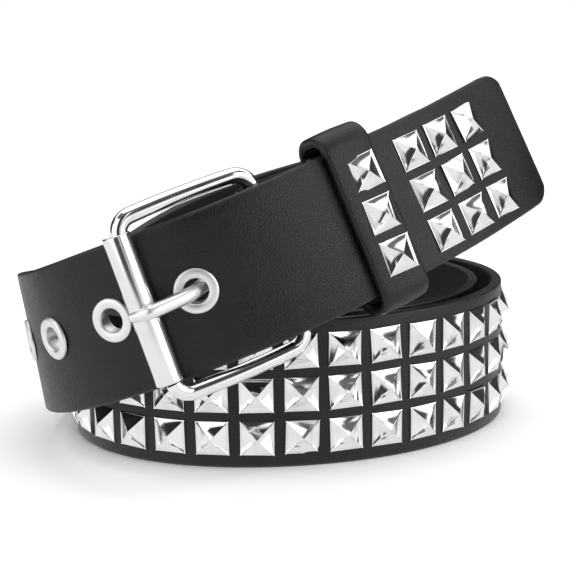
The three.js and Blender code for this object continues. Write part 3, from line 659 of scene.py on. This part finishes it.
for hole in holes:
    start = int(np.argmin(np.abs(stations - (hole - HOLE_SQUARE))))
    circles = []
    for lines, depth, paint in ((front_lines, HALF, 0), (back_lines, -HALF, 2)):
        keep[start:start + HOLE_CELLS, lines.min():lines.max() + 1] = False
        loop = square_loop(start, lines)
        s, across = strap_along[0][loop] - hole, strap_across[0][loop] - HOLE_RISE
        reach = np.hypot(s, across)
        middle = 0.5 * (reach + HOLE_RADIUS) / reach
        inner = HOLE_RADIUS / reach
        numbers = [loop]
        for share in (middle, inner):
            points = on_strap(ribbon, hole + s * share, HOLE_RISE + across * share, depth)
            strap_points.append(points)
            strap_along.append(hole + s * share)
            strap_across.append(HOLE_RISE + across * share)
            numbers.append(made_points + np.arange(len(loop)))
            made_points += len(loop)
        for outer_ring, inner_ring in zip(numbers[:-1], numbers[1:]):
            around = np.roll(outer_ring, -1), np.roll(inner_ring, -1)
            hole_faces += np.stack([outer_ring, around[0], around[1], inner_ring], -1).tolist()
            hole_paint += [paint] * len(loop)
        order = np.argsort(np.arctan2(across, s))
        circles.append(numbers[-1][order])
    front_ring, back_ring = circles
    sides = [front_ring, np.roll(front_ring, -1), np.roll(back_ring, -1), back_ring]
    hole_faces += np.stack(sides, -1).tolist()
    hole_paint += [1] * len(front_ring)
strap_faces = strap_quads[keep].tolist() + hole_faces
end_ring = (len(stations) - 1) * count
strap_faces += [list(range(count)), list(range(end_ring, end_ring + count))]
strap_paint = quad_paint[keep].tolist() + hole_paint + [1, 1]
strap_points = np.concatenate(strap_points)
strap_uv = np.stack([np.concatenate(strap_along), np.concatenate(strap_across)], -1) / STRAP_WIDTH
strap_piece = make_piece(
    "strap_leather", strap_points, strap_faces, (strap_face, strap_edge, strap_back), "leather",
    ("strap",), uv=strap_uv, paint=strap_paint,
)
print("strap faces:", len(strap_piece.data.polygons))

# %% [markdown]
# ## The folded end
# The strap's end is split, folded round the near bar and laid back on itself, with a slot in the
# middle for the prong. One surface follows the fold's own line: flat toward the bar, half round
# it, and back. Faces over the slot are left out, Solidify gives the layer its thickness, and
# Bevel takes the edge off. That is quicker to read than a closed profile with a slot in it.

# %% Folded end round the near bar
PRONG, PRONG_EYE_WALL = 3.6, 1.3
SLOT_HALF = PRONG / 2 + SEAT_GAP
fold_mid = BORE_RADIUS + FOLD_WALL / 2
ROUND_POINTS, LEG_POINTS, SIDE_POINTS = 13, 7, 7
fold_turn = np.radians(np.linspace(90, -90, ROUND_POINTS))
leg_share = np.linspace(0, 1, LEG_POINTS)
start_depths = -UNDER_DEPTH + np.array([1, -1]) * FOLD_WALL / 2
leg_ease = leg_share**2 * (3 - 2 * leg_share)
front_leg = start_depths[0] + (-NEAR_BAR_DEPTH + fold_mid - start_depths[0]) * leg_ease
back_leg = start_depths[1] + (-NEAR_BAR_DEPTH - fold_mid - start_depths[1]) * leg_ease
fold_s = np.concatenate([
    NEAR_BAR_AT - FOLD_LENGTH * (1 - leg_share[:-1]), NEAR_BAR_AT + fold_mid * np.cos(fold_turn),
    NEAR_BAR_AT - FOLD_LENGTH * (1 - leg_share[-2::-1]),
])
fold_depth = np.concatenate([
    front_leg[:-1], -NEAR_BAR_DEPTH + fold_mid * np.sin(fold_turn), back_leg[-2::-1],
])
FOLD_INSET, SLOT_ROOM = 1.3, 0.9
fold_reach = HALF_WIDTH - FOLD_INSET
fold_low, fold_high = UNDER_RISE - fold_reach, UNDER_RISE + fold_reach
fold_across = np.concatenate([
    np.linspace(fold_low, HOLE_RISE - SLOT_HALF, SIDE_POINTS),
    np.linspace(HOLE_RISE + SLOT_HALF, fold_high, SIDE_POINTS),
])
fold_rings = on_strap(tail, fold_s[:, None], fold_across[None, :], fold_depth[:, None])
fold_quads = np.array(ring_faces(len(fold_s), len(fold_across), around=False))
fold_quads = fold_quads.reshape(len(fold_s) - 1, len(fold_across) - 1, 4)
slot_from = NEAR_BAR_AT - BORE_RADIUS - PRONG_EYE_WALL - SLOT_ROOM
slot_column = np.arange(len(fold_across) - 1) == SIDE_POINTS - 1
in_slot = (fold_s[:-1, None] + fold_s[1:, None] > 2 * slot_from) & slot_column[None, :]
fold_piece = make_piece(
    "folded_end", fold_rings.reshape(-1, 3), fold_quads[~in_slot].tolist(), (strap_face,), "leather",
)
wall = fold_piece.modifiers.new("layer", "SOLIDIFY")
wall.thickness, wall.offset, wall.use_even_offset = FOLD_WALL * MM, 0, True
soften = fold_piece.modifiers.new("edges", "BEVEL")
soften.width, soften.segments, soften.limit_method = 0.25 * MM, 2, "ANGLE"
print("folded end:", len(fold_piece.data.polygons), "faces before its modifiers")

# %% [markdown]
# ## Pyramid studs
# A pyramid stud is pressed from thin sheet. The press leaves four faces that sink a little, so the
# ridges between them stand up as fine lines and the base is drawn in between its corners, with a
# narrow flat rim where the stud meets the leather. Two hundred and more of them are worked out in
# one array: one small set of local points, set into every frame along the strap at once. A stud
# has only a few dozen faces; the narrow strips along the ridges make the shading crisp. Hand
# setting leaves each one turned and tilted by a degree or two, from a fixed random seed.

# %% Local shape of a stud
STUD_SUNK, RIM_WIDTH, RIM_TOP, RIDGE_SIDE, SETTING_ERROR = 0.45, 0.36, 0.28, 0.87, 1.6
STUD_HALF = STUD_BASE / 2
stud_levels = np.array([  # share of the base, height in mm, how far the faces draw in
    (1.0, -STUD_SUNK, 0.03), (1.0, RIM_TOP, 0.03), (1 - RIM_WIDTH / STUD_HALF, RIM_TOP + 0.04, 0.035),
    (0.52, 0.0, 0.07), (0.07, 0.0, 0.0),
])
FACE_SINK, RIDGE_RISE = 0.10, 0.05
slope_foot = stud_levels[2, 1]
climbed = 1 - stud_levels[3:, 0] / stud_levels[2, 0]
stud_levels[3:, 1] = slope_foot + (STUD_HEIGHT - slope_foot) * climbed * (1 - FACE_SINK * (1 - climbed))
side_places = np.array([-1, -RIDGE_SIDE, RIDGE_SIDE])


def stud_local():
    """Points of one stud, ring by ring from its foot, then its tip. Side k of a ring runs along
    the square's edge; a ridge point lies on the corner and the others are drawn toward the middle."""
    share, height, draw = (stud_levels[:, k][:, None, None] for k in range(3))
    place = side_places[None, None, :]
    inward = share * (1 - draw * (place > -1))
    edge = np.stack(np.broadcast_arrays(share * place, -inward, height), -1)[:, 0]
    edge[..., 2] += RIDGE_RISE * (edge[..., 0] == -share[:, 0]) * (share[:, 0] < 1)
    quarter = np.array([(0, 1), (-1, 0)])
    sides = []
    for _ in range(4):
        sides.append(edge.copy())
        edge[..., :2] = edge[..., :2] @ quarter
    rings = np.concatenate(sides, axis=1)
    rings[..., :2] *= STUD_HALF
    tip_point = np.array([[0, 0, STUD_HEIGHT]])
    return np.concatenate([rings.reshape(-1, 3), tip_point])


local_stud = stud_local()
ring_size = len(side_places) * 4
stud_rings = len(stud_levels)
stud_quads = ring_faces(stud_rings, ring_size)
top_ring = (stud_rings - 1) * ring_size
stud_caps = [[top_ring + k, top_ring + (k + 1) % ring_size, stud_rings * ring_size] for k in range(ring_size)]
stud_faces = stud_quads + stud_caps + [list(range(ring_size))]
stud_rise = np.clip(local_stud[:, 2] / STUD_HEIGHT, 0, 1)
setting = np.random.default_rng(7)


def set_studs(name, course, s, across, depth, stands_for=()):
    """Studs whose middles lie at the given places: the local points along the strap's direction,
    width and normal, after a small turn and tilt of each stud."""
    s, across, depth = np.broadcast_arrays(*np.atleast_1d(s, across, depth))
    place, along, width, normal = frame_at(course, s)
    turn, tilt_x, tilt_y = np.radians(setting.normal(0, SETTING_ERROR, (3, len(s), 1)))
    x, y, z = (local_stud[None, :, k] for k in range(3))
    turned_x, turned_y = x - turn * y, y + turn * x
    lifted = z + tilt_x * y + tilt_y * x + depth[:, None]
    points = place[:, None] + along[:, None] * turned_x[..., None]
    points = points + width[:, None] * (turned_y + across[:, None])[..., None]
    points = points + normal[:, None] * lifted[..., None]
    step = len(local_stud)
    faces = [[number + k * step for number in face] for k in range(len(s)) for face in stud_faces]
    return make_piece(
        name, points.reshape(-1, 3), faces, (stud_metal,), "stud_metal", stands_for, sharp=25,
        # rise, the height share of each point, paints shade at the stud's foot in stud_metal
        marks={"rise": np.tile(stud_rise, len(s))},
    )


# %% Studs on the coil, the tip and the keeper
COLUMNS_BEFORE, COLUMNS_AFTER = 5, 3
KEEPER_WALL, KEEPER_STUD_SHIFT = 2.5, -1.1
row_levels = ((STUD_ROWS - 1) / 2 - np.arange(STUD_ROWS)) * ROW_PITCH
front_at = ribbon["s"][np.argmax(ribbon["turn"] >= 360)]
bar_join = on_strap(tail, NEAR_BAR_AT - BORE_RADIUS - FOLD_WALL, UNDER_RISE, -UNDER_DEPTH)
last_stud_at = ribbon_distance(bar_join) - PLAIN_END
first_column = front_at - math.floor((front_at - STUDS_RESUME) / STUD_PITCH) * STUD_PITCH
columns = np.arange(first_column, last_stud_at, STUD_PITCH)
column_place = np.round((columns - front_at) / STUD_PITCH).astype(int)
loose = (column_place >= -COLUMNS_BEFORE) & (column_place <= COLUMNS_AFTER)
rest_s, rest_rows = np.meshgrid(columns[~loose], row_levels, indexing="ij")
set_studs("coil_studs_round", ribbon, rest_s.ravel(), rest_rows.ravel(), HALF)
for number, s in enumerate(columns[loose], 1):
    for row, level in enumerate(row_levels, 1):
        node = f"coil_stud_{number}_{row}"
        set_studs("front_" + node, ribbon, s, level, HALF, (node,))
for column in range(TIP_COLUMNS):
    for row, level in enumerate(row_levels, 1):
        node = f"tip_stud_{column + 1}_{row}"
        s = FIRST_TIP_STUD + column * STUD_PITCH
        set_studs("set_" + node, tail, s, level + TIP_ROW_SHIFT, HALF, (node,))
for row, level in enumerate(row_levels, 1):
    depth = HALF + SEAT_GAP + KEEPER_WALL
    node = f"keeper_stud_{row}"
    set_studs("set_" + node, tail, KEEPER_AT + KEEPER_STUD_SHIFT, level, depth, (node,))
print("columns of studs on the coil:", len(columns), "of which in front:", int(loose.sum()))

# %% [markdown]
# ## Keeper loop
# The keeper is a short band of the same leather, closed into a loop that holds the tail down. Its
# path is a rectangle with round corners, drawn across the strap's width and thickness, and its
# section is a flat bar with softened edges that swells a little in the middle, as a folded band
# does. Every point of the section is pushed out from the path along the path's own normal.

# %% Keeper loop
KEEPER_LENGTH, KEEPER_END_ROOM, KEEPER_BACK_ROOM, KEEPER_CORNER = 14, 2.4, 2.6, 3
KEEPER_EDGE, KEEPER_SWELL = 0.85, 0.22


def quarter_arcs(count):
    """Unit vectors round a circle, one array of count vectors for each quarter."""
    a = np.pi / 2 * (np.arange(4)[:, None] + np.linspace(0, 1, count))
    return np.stack([np.cos(a), np.sin(a)], -1)


def joined(arcs, cells):
    """Closed path through four arcs, with a straight run of cells[k] cells after arc k."""
    path = []
    for k, arc in enumerate(arcs):
        share = np.linspace(0, 1, cells[k] + 1)[1:-1, None]
        path += [arc, arc[-1] + (arcs[(k + 1) % 4][0] - arc[-1]) * share]
    return np.concatenate(path)


QUARTER_SIDES = np.array([(1, 1), (-1, 1), (-1, -1), (1, -1)])


def round_rectangle(low, high, reach, radius, arc=9, straight=6):
    """Closed path of a rectangle with corners of one radius, centred across, from low to high in
    depth: (points, outward normals), corner arcs joined by straight runs."""
    facing = quarter_arcs(arc)
    centres = (0, (low + high) / 2) + QUARTER_SIDES * (reach - radius, (high - low) / 2 - radius)
    points = centres[:, None] + radius * facing
    return joined(points, [straight] * 4), joined(facing, [straight] * 4)


def bar_section(length, thickness, edge, swell, arc=4, flat=8, upright=2):
    """Closed section of a flat bar: corners of radius edge, outer face swollen by swell x
    (1 - (2x / length)^2). Returns place along and height from the middle."""
    centres = QUARTER_SIDES * (length / 2 - edge, thickness / 2 - edge)
    section = joined(centres[:, None] + edge * quarter_arcs(arc), [flat, upright, flat, upright])
    section[:, 1] += swell * (1 - (2 * section[:, 0] / length) ** 2) * (section[:, 1] > 0)
    return section


keeper_front = HALF + SEAT_GAP
keeper_back = -HALF - SEAT_GAP - STRAP_THICKNESS - KEEPER_BACK_ROOM
keeper_reach = HALF_WIDTH + KEEPER_END_ROOM
path, facing = round_rectangle(
    keeper_back - KEEPER_WALL / 2, keeper_front + KEEPER_WALL / 2, keeper_reach + KEEPER_WALL / 2,
    KEEPER_CORNER + KEEPER_WALL / 2,
)
section = bar_section(KEEPER_LENGTH, KEEPER_WALL, KEEPER_EDGE, KEEPER_SWELL)
keeper_rings = on_strap(
    tail,
    KEEPER_AT + section[None, :, 0],
    path[:, :1] + facing[:, :1] * section[None, :, 1],
    path[:, 1:] + facing[:, 1:] * section[None, :, 1],
)
keeper_points, keeper_faces = shell(keeper_rings, onward=True)
keeper_piece = make_piece(
    "keeper_band", keeper_points, keeper_faces, (keeper_face,), "keeper_leather", ("keeper",)
)
print("keeper:", len(keeper_piece.data.polygons), "faces")

# %% [markdown]
# ## Eyelets
# An eyelet is a turned ring: a domed flange on the front, a barrel through the leather and a
# smaller curl on the back. Its outline is drawn once as a closed profile of radius and depth and
# turned round the hole's axis.

# %% Eyelets
EYELET_SIDES, EYELET_SEAT, DOME_POWER, CURL_HALF, CURL_DEPTH = 48, 0.05, 0.45, 0.9, 0.6


def eyelet_profile():
    """Closed profile: front dome over the flange, height x sin(a)^power, then back curl and barrel."""
    bore, flange = EYELET_BORE / 2, EYELET_FLANGE / 2
    front, back = HALF + EYELET_SEAT, -HALF - EYELET_SEAT
    dome_angle = np.radians(np.linspace(0, 180, 13))
    dome_middle, dome_half = (bore + flange) / 2, (flange - bore) / 2
    dome = np.stack([
        dome_middle + dome_half * np.cos(dome_angle),
        front + EYELET_DOME * np.sin(dome_angle) ** DOME_POWER,
    ], -1)
    curl_angle = np.radians(np.linspace(180, 360, 9))
    curl = np.stack([
        bore + CURL_HALF * (1 + np.cos(curl_angle)), back + CURL_DEPTH * np.sin(curl_angle)
    ], -1)
    barrel = np.array([(bore + EYELET_BARREL, back), (bore + EYELET_BARREL, front)])
    return np.concatenate([dome, curl, barrel])


profile = eyelet_profile()
turn = np.linspace(0, 2 * np.pi, EYELET_SIDES, endpoint=False)
for number, hole in enumerate(holes, 1):
    place, along, width, normal = frame_at(tail, hole)
    axis = place + width * HOLE_RISE
    radial = np.cos(turn)[:, None] * along + np.sin(turn)[:, None] * width
    eyelet_rings = axis + radial[:, None] * profile[None, :, :1] + normal * profile[None, :, 1:]
    points, faces = shell(eyelet_rings, onward=True)
    node = f"eyelet_{number}"
    make_piece(f"ring_{node}", points, faces, (eyelet_metal,), "eyelet_metal", (node,), sharp=50)
print("eyelets:", HOLE_COUNT, "rings of", EYELET_SIDES * len(profile), "faces")

# %% [markdown]
# ## Buckle frame
# The frame is one length of round wire bent into a rectangle and closed behind the roller, where
# it is thinner so that the roller can turn. A path of close points and a round section carried
# along it give exactly that, and each path point has its own radius for the thinner bar.

# %% Sweep of a round section
def sweep(path, side, radius, squash=1.0, closed=False, sides=24):
    """Rings round a path: point + radius x (cos a x side + squash x sin a x third), with side made
    square to the path's direction and third square to both."""
    if closed:
        direction = unit(np.roll(path, -1, axis=0) - np.roll(path, 1, axis=0))
    else:
        direction = unit(np.gradient(path, axis=0))
    side = unit(side - direction * np.sum(side * direction, axis=-1, keepdims=True))
    third = np.cross(direction, side)
    a = 2 * np.pi * (np.arange(sides) + 0.5) / sides
    radius = np.broadcast_to(radius, len(path))[:, None, None]
    squash = np.broadcast_to(squash, len(path))[:, None, None]
    circle = np.cos(a)[None, :, None] * side[:, None]
    circle = circle + squash * np.sin(a)[None, :, None] * third[:, None]
    return path[:, None] + radius * circle


# %% Buckle frame
FRAME_CORNER, FRAME_SIDE_GAP, NECK_EASE, ON_BAR_WITHIN = 4.2, 1.75, 0.8, 0.01
FRAME_BOW, BOW_POWER = 0.5, 5
frame_half_height = HALF_WIDTH + FRAME_SIDE_GAP + WIRE / 2
frame_half_length = BAR_GAP / 2
frame_middle = (near_bar + far_bar) / 2
wire_path, _ = round_rectangle(
    -frame_half_length, frame_half_length, frame_half_height, FRAME_CORNER, arc=13, straight=28
)
frame_w, frame_u = wire_path[:, 0], wire_path[:, 1]
on_far_bar = frame_u > frame_half_length - ON_BAR_WITHIN
from_middle = np.abs(frame_w + FRAME_RISE - ROLLER_RISE)
neck = np.clip((ROLLER_LENGTH / 2 + NECK_EASE - from_middle) / NECK_EASE, 0, 1) * on_far_bar
wire_radius = WIRE / 2 + (BAR - WIRE) / 2 * neck
bow = FRAME_BOW * (0.5 - (frame_u / frame_half_length) ** 2)
frame_w = frame_w + bow * np.clip(frame_w / frame_half_height, -1, 1) ** BOW_POWER
frame_path = frame_middle + frame_u[:, None] * buckle_u + (frame_w + FRAME_RISE)[:, None] * buckle_w
frame_points, frame_faces = shell(sweep(frame_path, buckle_n, wire_radius, closed=True), onward=True)
make_piece(
    "frame_wire", frame_points, frame_faces, (wire_metal,), "buckle_metal", ("buckle_frame",)
)
print("buckle frame:", round(2 * frame_half_length + WIRE, 1), "mm long")

# %% [markdown]
# ## Roller
# The roller is a strip of sheet rolled into a tube, so it has a thin open seam along its length
# and softly turned ends. Its section is an open ring, which is carried along the bar with the
# ends drawn in by a small radius.

# %% Roller
SEAM_ANGLE, ROLLER_EDGE = 3.0, 0.3
seam = np.radians(np.linspace(SEAM_ANGLE, 360 - SEAM_ANGLE, 49))
outer_radius, inner_radius = ROLLER / 2, ROLLER / 2 - ROLLER_WALL
end_turn = np.radians([0, 30, 60, 90])
end_in = ROLLER_EDGE * (1 - np.sin(end_turn))
end_back = ROLLER_EDGE * (1 - np.cos(end_turn))
roller_w = np.concatenate([-ROLLER_LENGTH / 2 + end_back, ROLLER_LENGTH / 2 - end_back[::-1]])
shrink = np.concatenate([end_in, end_in[::-1]])
open_ring = np.stack([np.cos(seam + np.pi), np.sin(seam + np.pi)], -1)
roller_rings = []
for w, less in zip(roller_w, shrink):
    outline = np.concatenate([open_ring * (outer_radius - less), open_ring[::-1] * (inner_radius + less)])
    middle = roller_centre + w * buckle_w
    roller_rings.append(middle + outline[:, :1] * buckle_n + outline[:, 1:] * buckle_u)
roller_points, roller_faces = shell(np.array(roller_rings))
roller_faces = [face for face in roller_faces if len(face) == 4]
wall_points = len(seam)
for ring_start in (0, (len(roller_w) - 1) * 2 * wall_points):
    k = np.arange(wall_points - 1)
    lid = np.stack([k, k + 1, 2 * wall_points - 2 - k, 2 * wall_points - 1 - k], -1) + ring_start
    roller_faces += lid.tolist()
make_piece(
    "roller_tube", roller_points, roller_faces, (roller_metal,), "roller_metal", ("roller",)
)
print("roller:", ROLLER_LENGTH, "mm long,", ROLLER, "mm across")

# %% [markdown]
# ## Prong
# The prong is a rod curled round the near bar at one end. It comes up through the buckle hole,
# runs over the strap and lies on the roller, where its tip is hammered flat so that it catches
# less. The route is a smooth curve through a few points given along the strap and in depth.

# %% Prong
def rounded_path(points, step, bend):
    """Points every step along straight runs, averaged with their neighbours within bend, which
    leaves the runs straight and rounds each corner."""
    chord = np.concatenate([[0], np.cumsum(np.linalg.norm(np.diff(points, axis=0), axis=1))])
    places = np.linspace(0, chord[-1], math.ceil(chord[-1] / step) + 1)
    reach = int(round(bend / step))
    run = np.stack([np.interp(places, chord, points[:, k]) for k in range(points.shape[1])], -1)
    first, last = run[0] - (run[1:reach + 1] - run[0]), run[-1] - (run[-reach - 1:-1] - run[-1])
    padded = np.concatenate([first[::-1], run, last[::-1]])
    kernel = np.hanning(2 * reach + 3)[1:-1]
    kernel /= kernel.sum()
    return np.stack([np.convolve(column, kernel, "valid") for column in padded.T], -1)


prong_radius = PRONG / 2
over_roller = FAR_BAR_DEPTH + ROLLER / 2 + SEAT_GAP + prong_radius
roller_at = FAR_BAR_AT + ROLLER_SHIFT
prong_end = roller_at + 1
prong_route = np.array([  # along the strap, depth
    (NEAR_BAR_AT + 3, -NEAR_BAR_DEPTH - 0.9), (NEAR_BAR_AT + 8, -NEAR_BAR_DEPTH - 1),
    (BUCKLE_HOLE - 4.6, -NEAR_BAR_DEPTH - 0.2), (BUCKLE_HOLE - 1.5, -HALF - 2.3),
    (BUCKLE_HOLE - 0.4, -0.6), (BUCKLE_HOLE + 0.6, HALF + 0.9), (BUCKLE_HOLE + 1.7, HALF + 2.7),
    (roller_at - ROLLER / 2 + 0.4, over_roller - 0.3), (roller_at - 1.6, over_roller + 0.3),
    (prong_end, over_roller + 0.3),
])
prong_flat = rounded_path(prong_route, 0.25, 1.5)
prong_path = on_strap(tail, prong_flat[:, 0], HOLE_RISE, prong_flat[:, 1])
prong_side = frame_at(tail, BUCKLE_HOLE)[2]
WEDGE_FROM, WEDGE_LENGTH, WEDGE_NARROWING, WEDGE_THINNING = 3.0, 4.0, 0.36, 0.45
to_wedge = prong_flat[:, 0] - (roller_at - WEDGE_FROM)
hammered = np.clip(to_wedge / WEDGE_LENGTH, 0, 1)
prong_wide = prong_radius * (1 - WEDGE_NARROWING * hammered)
prong_thick = prong_radius * (1 - WEDGE_THINNING * hammered)
prong_squash = prong_thick / prong_wide
prong_path = prong_path - frame_at(tail, roller_at)[3] * (prong_radius - prong_thick)[:, None]
prong_rings = sweep(prong_path, prong_side, prong_wide, prong_squash)
prong_points, prong_faces = shell(prong_rings)
CURL_FROM, CURL_TO, CURL_POINTS, CURL_THINNER, CURL_SQUASH = 60, 300, 40, 0.1, 0.4
curl_radius = BORE_RADIUS + PRONG_EYE_WALL / 2
curl_angle = np.radians(np.linspace(CURL_FROM, CURL_TO, CURL_POINTS))
curl_s = NEAR_BAR_AT + curl_radius * np.cos(curl_angle)
curl_depth = -NEAR_BAR_DEPTH + curl_radius * np.sin(curl_angle)
curl_path = on_strap(tail, curl_s, HOLE_RISE, curl_depth)
curl_rings = sweep(curl_path, prong_side, prong_radius - CURL_THINNER, CURL_SQUASH)
curl_points, curl_faces = shell(curl_rings)
curl_faces = [[number + len(prong_points) for number in face] for face in curl_faces]
prong_piece = make_piece(
    "prong_rod", np.concatenate([prong_points, curl_points]), prong_faces + curl_faces,
    (prong_metal,), "buckle_metal", ("prong",), sharp=50,
)
print("prong:", len(prong_piece.data.polygons), "faces")

# %% [markdown]
# ## Floor
# The floor is a plain pale sheet with a faint glow of its own, which keeps the belt's shadow light.
# Mirrors in the metal are better off without it: they see the surroundings below, which are as
# bright as the floor and have no edge.

# %% Floor
FLOOR_SIZE = 8.0
floor_mesh = bpy.data.meshes.new("floor")
corner = FLOOR_SIZE / 2
floor_mesh.from_pydata(
    [(-corner, -corner, 0), (corner, -corner, 0), (corner, corner, 0), (-corner, corner, 0)],
    [], [(0, 1, 2, 3)],
)
floor = put_in_scene("floor", floor_mesh)
floor_paint, floor_tree, floor_skin = start_material("floor_paint")
feed(floor_tree, floor_skin, {
    "Base Color": (0.92, 0.92, 0.92, 1), "Roughness": 0.9, "Specular IOR Level": 0.1,
    "Emission Color": (1, 1, 1, 1), "Emission Strength": 0.12,
})
floor_mesh.materials.append(floor_paint)
floor.visible_glossy = False

# %% [markdown]
# ## Surroundings
# Polished metal shows its surroundings, so the light is a plain studio written down as directions:
# a soft box on either side of the camera, a darker gap between them with two faint strips, a bright
# ceiling that runs down behind the belt, and a pale floor. Every patch is a range of
# azimuth and elevation, so the same few numbers give the light, the soft shadows and the lines that
# make metal look like metal. The camera itself sees plain white behind the belt.

# %% Patches of the surroundings
DIM, PATCH_EDGE = 0.045, 2.5
PATCHES = [  # azimuth from and to, elevation from and to, brightness; azimuth 0 is the camera's side
    (39, 94, -4, 46, 2.1), (16, 37, -4, 15, 0.7), (16, 24, 18, 46, 1.4), (-95, -22, -4, 46, 1.35),
    (-100, 100, 48, 66, 0.10), (-200, 200, 66, 95, 1.5),
    (-200, -97, 34, 66, 1.25), (97, 200, 34, 66, 1.25),
    (-200, 200, -50, -4, 0.88), (-200, 200, -95, -50, 0.80),
]


def between(tree, angle, low, high):
    """1 where an angle lies between low and high degrees, with soft edges."""
    low, high, soft = math.radians(low), math.radians(high), math.radians(PATCH_EDGE)
    rising = spread(tree, angle, low - soft, low + soft)
    return sums(tree, "SUBTRACT", rising, spread(tree, angle, high - soft, high + soft))


world = bpy.data.worlds.new("studio")
world.use_nodes = True
bpy.context.scene.world = world
sky = world.node_tree
heading = add_node(sky, "ShaderNodeTexCoord").outputs["Generated"]
towards = add_node(sky, "ShaderNodeSeparateXYZ", {0: heading})
azimuth = sums(sky, "ARCTAN2", towards.outputs["X"], sums(sky, "MULTIPLY", towards.outputs["Y"], -1.0))
elevation = sums(sky, "ARCSINE", towards.outputs["Z"])
glow = DIM
for from_side, to_side, from_height, to_height, brightness in PATCHES:
    mask = between(sky, elevation, from_height, to_height)
    if to_side - from_side < 360:
        mask = sums(sky, "MULTIPLY", mask, between(sky, azimuth, from_side, to_side))
    glow = sums(sky, "MULTIPLY_ADD", mask, brightness, glow)
room = sky.nodes["Background"]
feed(sky, room, {"Strength": glow, "Color": (1, 1, 1, 1)})
backdrop = add_node(sky, "ShaderNodeBackground", {"Color": (1, 1, 1, 1), "Strength": 1.0})
seen = add_node(sky, "ShaderNodeLightPath").outputs["Is Camera Ray"]
either = add_node(sky, "ShaderNodeMixShader", {0: seen, 1: room.outputs[0], 2: backdrop.outputs[0]})
feed(sky, sky.nodes["World Output"], {"Surface": either.outputs[0]})
print("patches of the surroundings:", len(PATCHES))

# %% [markdown]
# One lamp is added, as wide as an overcast sky and hidden from reflections. It only keeps the
# floor white, which the soft boxes alone would leave grey.

# %% Lamp for the floor
overcast_data = bpy.data.lights.new("overcast", "SUN")
overcast_data.energy, overcast_data.angle = 1.0, math.radians(70)
overcast = put_in_scene("overcast", overcast_data)
overcast.visible_glossy = False

# %% Colour
bpy.context.scene.view_settings.view_transform = "Standard"
